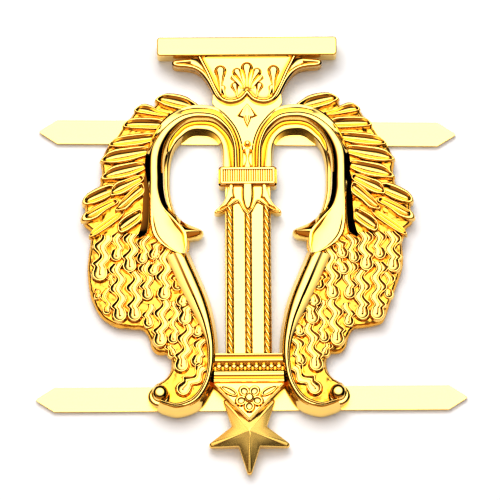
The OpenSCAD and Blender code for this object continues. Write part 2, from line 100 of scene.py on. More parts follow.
def smooth(rows: Sequence[Sequence], steps: int, closed: bool = False) -> list[tuple[float, ...]]:
    """Smooth curve through the rows of a table.

    Args:
        rows: the table, whatever its rows hold.
        steps: places on each stretch between two rows.
        closed: whether the last row joins the first one.

    Returns:
        The rows of the curve; an open one ends with the last row of the table.
    """
    if closed:
        padded = [rows[-1], *rows, rows[0], rows[1]]
    else:
        padded = [rows[0], *rows, rows[-1]]
    stretches = zip(padded, padded[1:], padded[2:], padded[3:])
    curve = [between(*four, k / steps) for four in stretches for k in range(steps)]
    return curve if closed else [*curve, tuple(rows[-1])]


def mix(a: Sequence[float], b: Sequence[float], share: float) -> tuple[float, ...]:
    """The place at a share of the way from a to b."""
    return tuple(p + (q - p) * share for p, q in zip(a, b))


def mix_number(a: float, b: float, share: float) -> float:
    """The number at a share of the way from a to b."""
    return a + (b - a) * share


def bend(a: Place, b: Place, share: float, rise: float) -> Place:
    """The corner at a share of the way from a to b and at a share of the rise between them."""
    return mix_number(a[0], b[0], share), mix_number(a[1], b[1], rise)


def mirrored(half: Sequence[Place]) -> list[Place]:
    """Whole outline from its right half, whose points on the axis stay single."""
    return list(half) + [(-u, v) for u, v in reversed(half) if u != 0]


def circle(middle: Place, radius: float, count: int) -> list[Place]:
    """Outline of a round form."""
    turns = [math.tau * k / count for k in range(count)]
    return [(middle[0] + radius * math.cos(a), middle[1] + radius * math.sin(a)) for a in turns]


def round_box(middle: Place, half_u: float, half_v: float, radius: float, facets: int) -> list[Place]:
    """Outline of a rectangle with round corners.

    Args:
        middle: its middle.
        half_u: half its width.
        half_v: half its height.
        radius: radius of its corners.
        facets: facets of each corner.

    Returns:
        The outline, anticlockwise from the lower right corner.
    """
    reach_u, reach_v = half_u - radius, half_v - radius
    outline = []
    for u, v, start in ((1, -1, -90), (1, 1, 0), (-1, 1, 90), (-1, -1, 180)):
        corner = (middle[0] + u * reach_u, middle[1] + v * reach_v)
        for k in range(facets + 1):
            angle = math.radians(start + 90 * k / facets)
            outline.append((corner[0] + radius * math.cos(angle), corner[1] + radius * math.sin(angle)))
    return outline


def area(outline: Sequence[Place]) -> float:
    """Signed area of an outline, positive when it runs anticlockwise."""
    pairs = zip(outline, list(outline[1:]) + [outline[0]])
    return sum(a[0] * b[1] - b[0] * a[1] for a, b in pairs) / 2


def inset(outline: Sequence[Place], distance: float) -> list[Place]:
    """Outline moved inwards by a distance, corner by corner.

    Args:
        outline: closed outline.
        distance: how far each side moves in.

    Returns:
        The moved outline, with as many points.
    """
    if distance == 0:
        return list(outline)
    turn = 1 if area(outline) > 0 else -1
    moved = []
    for i, here in enumerate(outline):
        before, after = Vector(outline[i - 1]), Vector(outline[(i + 1) % len(outline)])
        middle = Vector(here)
        normals = []
        for start, end in ((before, middle), (middle, after)):
            normals.append(left_of((end - start).normalized()) * turn)
        bisector = (normals[0] + normals[1]).normalized()
        reach = 1 / max(1 / MITRE, bisector.dot(normals[0]))
        moved.append(tuple(middle + bisector * distance * reach))
    return moved


def inset_line(line: Sequence[Sequence[float]], distance: float) -> list[Place]:
    """Open line moved to its left by a distance.

    Args:
        line: places along it.
        distance: how far it moves.

    Returns:
        The moved line.
    """
    moved = []
    for i, here in enumerate(line):
        way = Vector(line[min(i + 1, len(line) - 1)][:2]) - Vector(line[max(i - 1, 0)][:2])
        way.normalize()
        moved.append((here[0] - way.y * distance, here[1] + way.x * distance))
    return moved


def core_of(outline: Sequence[Place], start: Place, end: Place) -> list[Place]:
    """For each point of an outline, the nearest place on the straight core line.

    Args:
        outline: closed outline.
        start: one end of the core line.
        end: its other end.

    Returns:
        One place for each point.
    """
    a, way = Vector(start), Vector(end) - Vector(start)
    places = []
    for point in outline:
        share = (Vector(point) - a).dot(way) / way.length_squared
        places.append(tuple(a + way * min(1, max(0, share))))
    return places


# Relief and shells


@dataclass(frozen=True)
class Relief:
    """The relief's own grid: u across and v along in modules, z in mm above the casting's back."""

    module_x: float
    module_y: float
    back: float
    rise: float

    @classmethod
    def from_frame(cls) -> "Relief":
        """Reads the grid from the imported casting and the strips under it.

        Returns:
            The grid, in metres.
        """
        wide, tall, crest = 53.6, 71.0, 3.95
        fit_gap = 0.05 * MM
        low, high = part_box(CASTING)
        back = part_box(STRIPS[0])[1].z + fit_gap
        return cls((high.x - low.x) / wide, (high.y - low.y) / tall, back, (high.z - back) / crest)

    def place(self, point: Point, side: int = 1) -> Vector:
        """A point of the relief in metres; side -1 mirrors it."""
        u, v, z = point
        return Vector((side * u * self.module_x, v * self.module_y, self.back + z * self.rise))


class Shell:
    """Faces gathered ring by ring into closed surfaces that make one piece."""

    def __init__(self, relief: Relief, side: int = 1) -> None:
        """Starts an empty shell.

        Args:
            relief: the grid that its points are given on.
            side: -1 mirrors what is added.
        """
        self.relief = relief
        self.side = side
        self.points: list[Vector] = []
        self.faces: list[tuple[int, ...]] = []

    def ring(self, points: Iterable[Point]) -> list[int]:
        """Adds the points of one ring.

        Args:
            points: places on the relief.

        Returns:
            Their numbers in the shell.
        """
        start = len(self.points)
        self.points.extend(self.relief.place(p, self.side) for p in points)
        return list(range(start, len(self.points)))

    def loft(self, rings: Sequence[Sequence[Point]]) -> None:
        """Closed skin over rings of equal count.

        Args:
            rings: cross-sections, one after the other.
        """
        rows = [self.ring(r) for r in rings]
        count = len(rows[0])
        for a, b in zip(rows, rows[1:]):
            for k in range(count):
                j = (k + 1) % count
                self.faces.append((a[k], a[j], b[j], b[k]))
        self.faces.append(tuple(reversed(rows[0])))
        self.faces.append(tuple(rows[-1]))

    def slab(self, outline: Sequence[Place], steps: Sequence[Place]) -> None:
        """Plate whose side is drawn by steps: inset in modules and height in mm, up to the flat top."""
        self.loft([[(u, v, z) for u, v in inset(outline, reach)] for reach, z in steps])

    def pebble(self, outline: Sequence[Place], core: Sequence[Place], steps: Sequence[Step]) -> None:
        """Form that shrinks from its outline towards a core line inside it.

        Args:
            outline: closed outline at the foot.
            core: for each point of the outline, the place on the core that it shrinks to.
            steps: share of the way to the core and height in mm, one for all points or one for each.
        """
        rings = []
        for share, height in steps:
            heights = height if isinstance(height, list) else [height] * len(outline)
            rings.append([(*mix(p, c, share), z) for p, c, z in zip(outline, core, heights)])
        self.loft(rings)

    def ridge(self, outline: Sequence[Place], start: Place, end: Place, steps: Sequence[Step]) -> None:
        """Pebble over a straight core line from start to end."""
        self.pebble(outline, core_of(outline, start, end), steps)

    def button(self, middle: Place, radius: float, facets: int, steps: Sequence[Step]) -> None:
        """Round pebble, whose steps lead from its edge to its middle."""
        self.pebble(circle(middle, radius, facets), [middle] * facets, steps)

    def build(self, name: str, finish: "Gilding", crease: float = 40) -> None:
        """Turns the shell into a piece that rides with the casting and stands for it.

        Args:
            name: the piece's name.
            finish: what it is made of.
            crease: edges sharper than this many degrees stay sharp.
        """
        mesh = bpy.data.meshes.new(name)
        mesh.from_pydata([tuple(p) for p in self.points], [], self.faces)
        work = bmesh.new()
        work.from_mesh(mesh)
        bmesh.ops.remove_doubles(work, verts=work.verts, dist=WELD)
        bmesh.ops.dissolve_degenerate(work, edges=work.edges, dist=SLIVER)
        large = [f for f in work.faces if len(f.verts) > 4]
        bmesh.ops.triangulate(work, faces=large)
        bmesh.ops.recalc_face_normals(work, faces=work.faces)
        work.to_mesh(mesh)
        work.free()
        mesh.shade_smooth()
        mesh.set_sharp_from_angle(angle=math.radians(crease))
        mesh.materials.append(finish.value.material())
        piece = add_object(name, mesh)
        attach(piece, "root")
        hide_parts(CASTING)
        LOG.info("%s: %d faces", name, len(mesh.polygons))


@dataclass
class Form:
    """A form of the casting, with the grid that it is laid out on; side -1 mirrors it."""

    relief: Relief
    side: int = 1

    def shell(self) -> Shell:
        """An empty shell on the form's grid and side."""
        return Shell(self.relief, self.side)

    def name(self, piece: str) -> str:
        """The name of a piece that both sides have."""
        return f"{'right' if self.side > 0 else 'left'}_{piece}"


def on_level(level: float, rises: Sequence[Place]) -> list[Place]:
    """Steps whose heights are counted from a level."""
    return [(reach, level + rise) for reach, rise in rises]


def rounded(foot: float, top: float, radius: float, count: int = 4) -> list[Place]:
    """Steps of a slab with a rounded upper edge and a flat top.

    Args:
        foot: height where the side starts.
        top: height of the flat.
        radius: radius of the edge.
        count: facets of the edge.

    Returns:
        Insets and heights for Shell.slab.
    """
    arc = [math.pi / 2 * k / count for k in range(count + 1)]
    steps = [(radius * (1 - math.cos(a)), top - radius + radius * math.sin(a)) for a in arc]
    flat_rim = 0.03
    return [(0, foot), *steps, (radius + flat_rim, top)]


def dome(foot: float, top: float, count: int = 6) -> list[Place]:
    """Steps of a pebble that is a round dome, from the height of its edge to that of its middle."""
    arc = [math.pi / 2 * k / count for k in range(count + 1)]
    return [(min(0.98, 1 - math.cos(a)), foot + (top - foot) * math.sin(a)) for a in arc]


def mound(foot: float, top: float, fillet: float = 0.16) -> list[Place]:
    """Steps of a pebble with a hollow fillet at its foot and a full crest.

    Args:
        foot: height of the ground that it stands on.
        top: height of its crest.
        fillet: share of the way in that the fillet takes.

    Returns:
        Shares and heights for Shell.pebble.
    """
    rise = top - foot
    low = [(0, foot - 0.04), (fillet * 0.5, foot + rise * 0.08), (fillet, foot + rise * 0.28)]
    shares = ((0.08, 0.62), (0.16, 0.82), (0.28, 0.93), (0.5, 0.99), (0.97, 1.0))
    return low + [(fillet + (1 - fillet) * s, foot + rise * h) for s, h in shares]


def sweep(
    shell: Shell, line: Sequence[Place], half: float, edge: float, top: float, foot: float, crown: float = 0.5
) -> None:
    """Ridge of round section along a line.

    Args:
        shell: shell that takes it.
        line: places along its middle.
        half: half its width.
        edge: how far below its crest its shoulders lie.
        top: height of its crest.
        foot: height of its foot.
        crown: how flat its top is, from 0 for a roof to 1 for a box.
    """
    shoulder, brow = top - edge, top - edge * 0.2
    near, far = 0.5 - crown / 2, 0.5 + crown / 2
    cut = ((0, foot), (0, shoulder), (near, brow), (0.5, top), (far, brow), (1, shoulder), (1, foot))
    left, right = inset_line(line, half), inset_line(line, -half)
    shell.loft([[(*mix(a, b, s), z) for s, z in cut] for a, b in zip(left, right)])


# Finishes, objects and nodes


def linear(hex_code: str) -> tuple[float, float, float, float]:
    """An sRGB hex value as the linear colour that the shaders take.

    Args:
        hex_code: colour such as "#f3cf5b".

    Returns:
        Red, green, blue and an alpha of one.
    """
    parts = [int(hex_code[i : i + 2], 16) / 255 for i in (1, 3, 5)]
    tones = [p / 12.92 if p <= 0.04045 else ((p + 0.055) / 1.055) ** 2.4 for p in parts]
    return (*tones, 1.0)


def add_object(name: str, data: bpy.types.ID) -> bpy.types.Object:
    """Adds an object to the scene.

    Args:
        name: its name.
        data: its mesh, camera or light.

    Returns:
        The new object.
    """
    made = bpy.data.objects.new(name, data)
    bpy.context.scene.collection.objects.link(made)
    return made


def empty_tree(owner: bpy.types.Material | bpy.types.World) -> bpy.types.NodeTree:
    """Gives a material or the world a node tree with nothing in it.

    Args:
        owner: the material or the world.

    Returns:
        The empty tree.
    """
    owner.use_nodes = True
    owner.node_tree.nodes.clear()
    return owner.node_tree


def add_node(
    tree: bpy.types.NodeTree, kind: str, settings: dict | None = None, **sockets: object
) -> bpy.types.Node:
    """Adds a node, sets it up and links it.

    Args:
        tree: node tree of a material or of the world.
        kind: Blender's name for the node's type.
        settings: the node's own properties.
        sockets: values by the input's name, with _ for a space, or by its number, as i0; an output is linked.

    Returns:
        The new node.
    """
    node = tree.nodes.new(kind)
    for key, value in (settings or {}).items():
        setattr(node, key, value)
    numbered = {f"i{number}": socket for number, socket in enumerate(node.inputs)}
    for key, value in sockets.items():
        socket = numbered[key] if key in numbered else node.inputs[key.replace("_", " ")]
        if isinstance(value, bpy.types.NodeSocket):
            tree.links.new(value, socket)
        else:
            socket.default_value = value
    return node


@dataclass(frozen=True)
class Finish:
    """Gold plate on cast or rolled metal: its colour, its polish, and the grain and waves of its surface."""

    name: str
    colour: str
    roughness: float
    grain_mm: float
    grain_depth_mm: float
    wave_mm: float = 2.5
    wave_depth_mm: float = 0.004

    # Share by which the grain makes the polish better and worse
    SPREAD = 0.2
    # Values of the noise that count as the grain's hollows and tops
    HOLLOW, TOP = 0.3, 0.7

    def material(self) -> bpy.types.Material:
        """The finish as a node material, made once.

        Returns:
            The material.
        """
        made = bpy.data.materials.get(self.name)
        if made:
            return made
        made = bpy.data.materials.new(self.name)
        tree = empty_tree(made)
        place = add_node(tree, "ShaderNodeTexCoord").outputs["Object"]
        # The real grain is some 0.02 mm, too fine to show, so it is drawn ten times as coarse or more
        grain = add_node(tree, "ShaderNodeTexNoise", Vector=place, Scale=1 / (self.grain_mm * MM), Detail=3.0)
        wave = add_node(tree, "ShaderNodeTexNoise", Vector=place, Scale=1 / (self.wave_mm * MM), Detail=1.0)
        normal = None
        for noise, depth in ((wave, self.wave_depth_mm), (grain, self.grain_depth_mm)):
            below = {} if normal is None else {"Normal": normal}
            height = noise.outputs["Fac"]
            bump = add_node(tree, "ShaderNodeBump", Height=height, Distance=depth * MM, Strength=1.0, **below)
            normal = bump.outputs["Normal"]
        polish = add_node(
            tree, "ShaderNodeMapRange", Value=grain.outputs["Fac"], From_Min=self.HOLLOW, From_Max=self.TOP,
            To_Min=self.roughness * (1 - self.SPREAD), To_Max=self.roughness * (1 + self.SPREAD),
        )
        shader = add_node(
            tree, "ShaderNodeBsdfPrincipled", Base_Color=linear(self.colour), Metallic=1.0,
            Roughness=polish.outputs["Result"], Normal=normal,
        )
        add_node(tree, "ShaderNodeOutputMaterial", Surface=shader.outputs["BSDF"])
        return made


class Gilding(Enum):
    """The finishes of the jewel, all of them gold plate over brass."""

    # Buffed with rouge before plating: it mirrors the studio, with a slight waviness
    POLISHED = Finish("polished_gilding", "#fde196", 0.08, 0.3, 0.0006)
    # Cast ground that no wheel reaches: ripples 1.3 mm wide and a coarse grain break its reflections. Its
    # deeper, darker colour is painted shade of the recessed ground
    GROUND = Finish("cast_ground_painted_shade_gilding", "#f2c566", 0.18, 0.35, 0.02, 1.3, 0.36)
    # Small relief that the wheel only brushes: its hollows stay a little duller
    CHASED = Finish("chased_gilding", "#fadb8f", 0.17, 0.3, 0.003)
    # Satin facets of the star: brushed before plating
    SATIN = Finish("satin_gilding", "#fcdb8c", 0.24, 0.25, 0.001)
    # Rolled strip, plated bright over mill finish: paler and flat
    STRIP = Finish("rolled_strip_gilding", "#fde39b", 0.22, 0.2, 0.0004)


# Middle of the jewel


@dataclass
class TopBar(Form):
    """The bar across the top of the capital."""

    top: float = 35.5
    half_long: float = 14.4
    wide: float = 3.05
    height: float = 3.45
    corner: float = 0.5
    edge: float = 0.22

    def build(self) -> None:
        """Makes the bar as a slab with round corners and a rounded edge."""
        middle = (0, self.top - self.wide / 2)
        shell = self.shell()
        outline = round_box(middle, self.half_long, self.wide / 2, self.corner, 6)
        shell.slab(outline, rounded(0, self.height, self.edge, 5))
        shell.build("top_bar", Gilding.POLISHED)


@dataclass
class Capital(Form):
    """The flared capital with its palmette between two slanted rims."""

    height: float = 2.95
    field: float = 2.35
    rim_foot: float = 1.8
    outer_half: float = 0.34
    inner_half: float = 0.36
    lobe_rise: float = 0.85
    lobe_fillet: float = 0.26
    lobe_swell: float = 1.5
    lobe_spread: float = 0.06
    lobe_arc: float = 96.0
    lobe_facets: int = 12

    EDGE = (
        (0, 25.95), (0.6, 25.25), (1.35, 24.8), (2.1, 24.6), (2.75, 24.55), (3.7, 24.75), (4.5, 25.2),
        (5.2, 26), (5.75, 27.1), (6.4, 28.35), (7.3, 29.55), (8.4, 30.3), (9.6, 30.6), (11.2, 30.75),
        (11.75, 30.95), (12, 31.35), (11.8, 31.75), (11.3, 31.9), (9, 32.1), (0, 32.6),
    )
    FIELD = (
        (0, 27.2), (0.4, 26.4), (1.2, 25.6), (2.1, 25.2), (2.9, 25.15), (3.6, 25.4), (4.2, 25.9),
        (4.7, 26.7), (5.3, 28), (6.1, 29.6), (7.1, 31.4), (7.5, 32.3), (7.7, 33.6), (0, 33.6),
    )
    # Border of the field: how far in and how far from the field's level
    FIELD_STEPS = ((0, -0.34), (0.3, -0.2), (0.55, -0.1), (0.85, -0.02), (1.1, 0))
    # The slanted rim, from the axis to the bar
    INNER = (
        (0, 26.55), (0.75, 25.65), (1.5, 25.2), (2.7, 24.98), (3.9, 25.3), (4.6, 26.1), (5.4, 27.7),
        (6.3, 29.8), (7, 31.2), (7.6, 32.4),
    )
    # The hollow between the slanted rim and the outer one: both its edges, then a cut across it
    FLANK_LOW = (
        (4.9, 26.2), (5.6, 27.6), (6.3, 28.9), (7.2, 29.9), (8.6, 30.7), (10.2, 31.1), (11.2, 31.4),
    )
    FLANK_HIGH = ((4.7, 26.3), (5.3, 27.7), (5.9, 29.2), (6.5, 30.5), (7.1, 31.6), (7.6, 32.2), (8.2, 32.4))
    HOLLOW = (
        (0, 1.8), (0, 2.85), (0.12, 2.7), (0.3, 2.5), (0.5, 2.42), (0.7, 2.5), (0.88, 2.68), (1, 2.9),
        (1, 1.8),
    )
    # Lobes of the palmette: foot, head, radius of the head
    LOBES = (((0, 27.3), (0, 30.6), 0.66), ((0.3, 27.2), (1.6, 29.9), 0.5), ((0.9, 27.2), (2.35, 29), 0.2))
    DROP = ((4.2, 26.2), (4.25, 30.1), 0.66)
    LEAVES = (((1.5, 25.55), (2, 27.6), 0.42), ((3.5, 25.7), (3.9, 27.3), 0.34))
    # Down the sides of a lobe: share of the way to its foot, and its half width as a share of the head's
    WAIST = ((0.3, 0.6), (0.55, 0.36), (0.8, 0.22), (1, 0.16))

    def lobe(self, shell: Shell, foot: Place, head: Place, radius: float) -> None:
        """A drop-shaped raised form.

        Args:
            shell: shell that takes it.
            foot: its narrow end.
            head: middle of its round end.
            radius: radius of the round end.
        """
        way = (Vector(head) - Vector(foot)).normalized()
        side = left_of(way)
        reach = radius * self.lobe_swell + self.lobe_spread
        outline = []
        for k in range(self.lobe_facets + 1):
            angle = math.radians(self.lobe_arc * (2 * k / self.lobe_facets - 1))
            outline.append(tuple(Vector(head) + reach * (side * math.sin(angle) + way * math.cos(angle))))
        for turned, spots in ((1, self.WAIST), (-1, reversed(self.WAIST))):
            for share, width in spots:
                outline.append(tuple(Vector(mix(head, foot, share)) + side * turned * reach * width))
        shell.ridge(outline, foot, head, mound(self.field, self.field + self.lobe_rise, self.lobe_fillet))

    def rims(self, shell: Shell) -> None:
        """Raised rims along the outline and down both sides of the field.

        Args:
            shell: shell that takes them.
        """
        outer, inner = smooth(self.EDGE[:-1], 4), smooth(self.INNER, 4)
        low, high = smooth(self.FLANK_LOW, 4), smooth(self.FLANK_HIGH, 4)
        for side in (1, -1):
            shell.side = side
            beside = inset_line(outer, self.outer_half)
            sweep(shell, beside, self.outer_half, 0.22, self.height, self.rim_foot)
            sweep(shell, inner, self.inner_half, 0.3, self.height + 0.1, self.rim_foot)
            shell.loft([[(*mix(a, b, s), z) for s, z in self.HOLLOW] for a, b in zip(low, high)])

    def build(self) -> None:
        """Makes the plate, its rims and the relief in its field."""
        plate = self.shell()
        plate.slab(mirrored(smooth(self.EDGE, 3)), rounded(0, self.field - 0.25, 0.05, 1))
        plate.build("capital_ground", Gilding.GROUND)
        rims = self.shell()
        self.rims(rims)
        rims.build("capital_rims", Gilding.POLISHED)
        palmette = self.shell()
        field_foot = 0.5
        palmette.slab(
            mirrored(smooth(self.FIELD, 3)), [(0, field_foot), *on_level(self.field, self.FIELD_STEPS)]
        )
        for side in (1, -1):
            palmette.side = side
            for foot, head, radius in (*self.LOBES, self.DROP, *self.LEAVES):
                self.lobe(palmette, foot, head, radius)
        palmette.build("capital_palmette", Gilding.POLISHED)


@dataclass
class Shield(Form):
    """The plate between the arches, with a spade, a pearl and a drop."""

    height: float = 2.05
    spade_rise: float = 0.54
    pearl_r: float = 0.62
    pearl_rise: float = 1.0
    drop_rise: float = 0.8

    EDGE = (
        (0, 26.4), (5.5, 26.3), (5.6, 24.9), (4.5, 23.2), (2.6, 21.2), (1.6, 18.6), (1.2, 14.5), (1.2, 13),
        (0, 13),
    )
    SPADE = ((0, 24.9), (0.85, 23.9), (1.7, 22.75), (1.2, 22.55), (0.75, 22.75), (0.5, 21.9), (0, 20.7))
    SPADE_AXIS = ((0, 23.9), (0, 22))
    # Up the spade: share of the way in and how far below its crest
    SPADE_STEPS = (
        (0, -0.64), (0.02, -0.54), (0.28, -0.04), (0.34, 0), (0.46, 0), (0.6, -0.04), (0.8, -0.09),
        (0.97, -0.12),
    )
    PEARL = (0, 18.1)
    DROP = ((0.75, 17.2), (0.62, 16.6), (0.3, 15.9), (0.35, 15.2), (0.75, 14.4), (0.8, 13.5))
    DROP_AXIS = ((0, 17), (0, 13.6))

    def build(self) -> None:
        """Makes the plate and the forms on its axis."""
        top = self.height
        shell = self.shell()
        shell.slab(mirrored(self.EDGE), rounded(0, top, 0.05, 1))
        shell.ridge(mirrored(self.SPADE), *self.SPADE_AXIS, on_level(top + self.spade_rise, self.SPADE_STEPS))
        shell.button(self.PEARL, self.pearl_r, 24, mound(top, top + self.pearl_rise, 0.25))
        drop = mirrored([(0, 17.4), *smooth(self.DROP, 3), (0, 13.4)])
        shell.ridge(drop, *self.DROP_AXIS, mound(top, top + self.drop_rise, 0.2))
        shell.build("shield_plate", Gilding.POLISHED)


# Arch, neck and head


@dataclass
class Neck(Form):
    """One arch that runs over into a bird's neck and head, with its beak and its tail strip."""

    strip_top: float = 2.84
    strip_slope: float = 0.5
    # Engraved lines: their share of the way in from the crest's edges, and of the depth in a row
    line: float = 0.1
    line_depth: float = 0.6
    # The dish that starts at the inner line: its depth against a row's, its end, its width and its curve
    dish_depth: float = 3.3
    dish_end: float = 0.62
    dish_wide: float = 0.5
    dish_power: float = 1.4

    # Outer edge u and v, inner edge u and v, then hundredths of the way across for rim, groove, outer and
    # inner edge of the crest, end of its inner flank, foot of the flank and inner lip, then heights of
    # rim, groove, crest, flank's end, foot and lip, then how far the crest's edges drop, the depth of
    # the engraved line, and the height where the side walls start
    CUTS = (
        (0.7, 13.9, 4.15, 13.9, 10, 20, 26, 41, 46, 52, 93, 2.5, 2.1, 3.4, 3, 2.1, 2.4, 0.14, 0, 0),
        (0.65, 17.1, 4.2, 17.1, 12, 24, 30, 43, 48, 63, 93, 2.5, 2.1, 3.7, 3.2, 2.1, 2.4, 0.14, 0, 0),
        (1.15, 19.5, 4.45, 18.2, 13, 25, 31, 44, 49, 64, 93, 2.5, 2.1, 3.75, 3.3, 2.1, 2.4, 0.14, 0, 0),
        (2.3, 21.7, 5.05, 19.2, 13, 26, 32, 46, 51, 66, 93, 2.5, 2.1, 3.8, 3.4, 2.1, 2.35, 0.14, 0, 0),
        (4.6, 24, 6.2, 19.9, 14, 27, 35, 51, 54, 67, 92, 2.5, 2.15, 3.85, 3.5, 2.1, 2.35, 0.14, 0, 0),
        (7.8, 24.65, 7.75, 20.05, 14.5, 28, 37, 53, 56, 69, 91, 2.5, 2.2, 3.9, 3.6, 2.1, 2.35, 0.14, 0, 0),
        (10.2, 24.25, 8.6, 20, 13.5, 27, 36, 54, 57, 70, 91, 2.5, 2.2, 3.9, 3.55, 2.1, 2.35, 0.14, 0, 0),
        (11.8, 23.5, 9.35, 19.7, 12, 26, 34, 54, 59, 71, 91, 2.45, 2.25, 3.92, 3.5, 2.1, 2.33, 0.14, 0, 0),
        (13.25, 22.35, 10.05, 19.15, 9, 24, 31, 53, 60, 73, 91, 2.4, 2.3, 3.92, 3.4, 2.05, 2.3, 0.14, 0, 0),
        (14.6, 20.6, 10.95, 18.4, 6, 18, 27, 52, 62, 76, 92, 2.3, 2.5, 3.93, 3.3, 2, 2.25, 0.14, 0, 0),
        (15.8, 18.1, 11.7, 17.3, 3, 9, 22, 51, 65, 80, 93, 2.1, 2.9, 3.94, 3.2, 1.9, 2, 0.14, 0, 0),
        (16.3, 16.2, 12.2, 15.8, 1, 3, 22, 51, 68, 80, 93, 1.9, 3.1, 3.95, 3.25, 1.8, 1.4, 0.14, 0, 0),
        (16.45, 14.3, 12.45, 14.1, 1, 2, 24, 53, 72, 80, 93, 1.7, 3.15, 3.95, 3.2, 1.9, 0.9, 0.14, 0, 0),
        (16.1, 12.2, 12.5, 12.3, 0.5, 1, 17, 50, 72, 80, 93, 1.7, 3.3, 3.95, 3.2, 1.9, 0.8, 0.14, 0, 0),
        (15.8, 10.4, 12.42, 10.5, 0.5, 1, 9, 45, 70, 79, 93, 1.7, 3.4, 3.95, 3.2, 1.9, 0.8, 0.14, 0, 0),
        (15.7, 8.6, 12.1, 8.8, 0.5, 1, 6, 48, 71, 79, 93, 1.7, 3.4, 3.94, 3.2, 1.9, 0.8, 0.13, 0, 0),
        (15.65, 7.3, 11.65, 7.4, 0.5, 1, 5, 56, 76, 83, 93, 1.7, 3.4, 3.93, 3.3, 1.9, 0.8, 0.12, 0, 0),
        (15.6, 6, 10.95, 6.1, 0.5, 1, 4.5, 72, 86, 90, 95, 1.7, 3.4, 3.91, 3.4, 1.8, 1.2, 0.1, 0.05, 0),
        (15.55, 4.6, 10.15, 4.75, 0.5, 1, 4, 83, 88, 91, 95, 1.7, 3.4, 3.9, 3.55, 1.9, 1.2, 0.1, 0.13, 0),
        (15.15, 2.9, 9.35, 3.35, 0.5, 1, 4, 90, 92, 94, 96, 1.8, 3.3, 3.87, 3.55, 2, 1.2, 0.08, 0.13, 0),
        (14.1, 1.55, 9.25, 2.1, 1, 2, 5, 89, 92, 94, 96, 2, 3.2, 3.83, 3.5, 2.2, 1.2, 0.06, 0.1, 0.4),
        (12.6, 0.5, 9.35, 1.1, 2, 3, 6, 86, 90, 93, 96, 2.2, 3.2, 3.8, 3.5, 2.3, 1.4, 0.04, 0.07, 1),
        (11.45, -0.05, 9.6, 0.3, 2, 4, 9, 76, 84, 90, 95, 2.4, 3.2, 3.78, 3.4, 2.4, 1.6, 0.03, 0.03, 1.5),
        (10.75, -0.25, 9.85, -0.15, 3, 6, 13, 70, 80, 90, 95, 2.5, 3.2, 3.75, 3.3, 2.5, 1.8, 0.02, 0, 1.8),
        (10.4, -0.85, 9.9, -0.85, 5, 10, 25, 70, 80, 90, 95, 2.5, 2.9, 3.3, 3.1, 2.5, 2, 0.02, 0, 2),
        (10.25, -1.3, 9.95, -1.3, 5, 10, 30, 65, 75, 90, 95, 2.4, 2.6, 2.8, 2.7, 2.4, 2.2, 0.02, 0, 2.1),
    )
    # Outline of the beak, from its root along its upper edge and back
    BEAK = (
        (12, 7.2), (11, 6.3), (10.2, 5.6), (9.4, 5.15), (8.5, 4.75), (7.7, 4.4), (7.2, 4.05), (7.05, 3.7),
        (7.25, 3.2), (7.8, 2.75), (8.6, 2.6), (9.3, 2.45), (10.4, 2.2), (12.5, 3.2),
    )
    # Outer and inner edge of the bevelled strip beside the neck
    STRIP = (
        (16, 14, 15.75, 14), (16.45, 13, 15.6, 13), (16.65, 11.2, 15.62, 11.2), (16.75, 8, 15.65, 8),
        (16.95, 5.5, 15.7, 5.5), (17.25, 4, 15.95, 3.7), (17.5, 3.2, 16.6, 3), (17.6, 2.7, 17.3, 2.6),
    )
    # Shares of the way across the crest where it is cut
    CREST = (
        0, 0.035, 0.072, 0.1, 0.128, 0.17, 0.26, 0.38, 0.5, 0.62, 0.74, 0.83, 0.872, 0.9, 0.928, 0.965, 1,
    )
    # Shares of the way from lip to foot, then of the way to the rim, with the heights over either level
    LIP = ((0, -0.12), (0.15, -0.03), (0.45, 0.02), (0.75, -0.01))
    RIM = ((1, -0.06), (0.55, 0), (0.15, -0.1), (0, -0.35))
    BEAK_AXIS = ((7.75, 3.75), (10.6, 3.75))
    BEAK_STEPS = ((0, 0), (0.05, 1), (0.12, 1.5), (0.5, 2.1), (0.85, 2.55), (0.98, 2.62))

    def section(self, row: Sequence[float]) -> Ring:
        """Cut across the arch, the neck or the head.

        Args:
            row: one row of the table of cuts.

        Returns:
            The cut's outline, from the inner wall over the crest to the outer wall.
        """
        outer, inner = row[0:2], row[2:4]
        shares = (share / 100 for share in row[4:11])
        rim_z, groove_z, top, flank_z, foot_z, lip_z, drop, engraved, wall_z = row[11:]
        shoulder = top - drop
        heights = (rim_z, groove_z, shoulder, shoulder, flank_z, foot_z, lip_z)
        rim, groove, crest_out, crest_in, flank, foot, lip = zip(shares, heights)
        wall = (1, min(wall_z, lip_z - 0.1))
        # Inner wall, the lip with its shallow hollow, then the inner flank up to the crest
        points = [wall, bend(wall, lip, 0.6, 0.6)]
        points += [(mix_number(lip[0], foot[0], share), lip_z + z) for share, z in self.LIP]
        points += [bend(lip, foot, 0.92, 0.5), foot, bend(foot, flank, 0.5, 0.5), flank]
        points += [bend(flank, crest_in, 0.35, 0.4), bend(flank, crest_in, 0.7, 0.77)]
        # Crest; where lines are engraved near its edges, its inner side is dished too
        for c in self.CREST:
            line = self.line_depth * engraved if math.isclose(min(c, 1 - c), self.line) else 0
            inside = max(0.0, (self.dish_end - c) / self.dish_wide) if c >= self.line else 0
            dish = self.dish_depth * engraved * inside**self.dish_power
            height = top - drop * abs(2 * c - 1) ** 2 - line - dish
            points.append((mix_number(crest_in[0], crest_out[0], c), height))
        # Groove, rim and outer wall
        points += [bend(crest_out, groove, 0.35, 0.3), bend(crest_out, groove, 0.8, 0.85), groove]
        points.append(bend(groove, rim, 0.7, 0.35))
        points += [(rim[0] * share, rim_z + z) for share, z in self.RIM]
        points.append((-0.02, min(wall_z, rim_z - 0.5)))
        return [(*mix(outer, inner, s), z) for s, z in points]

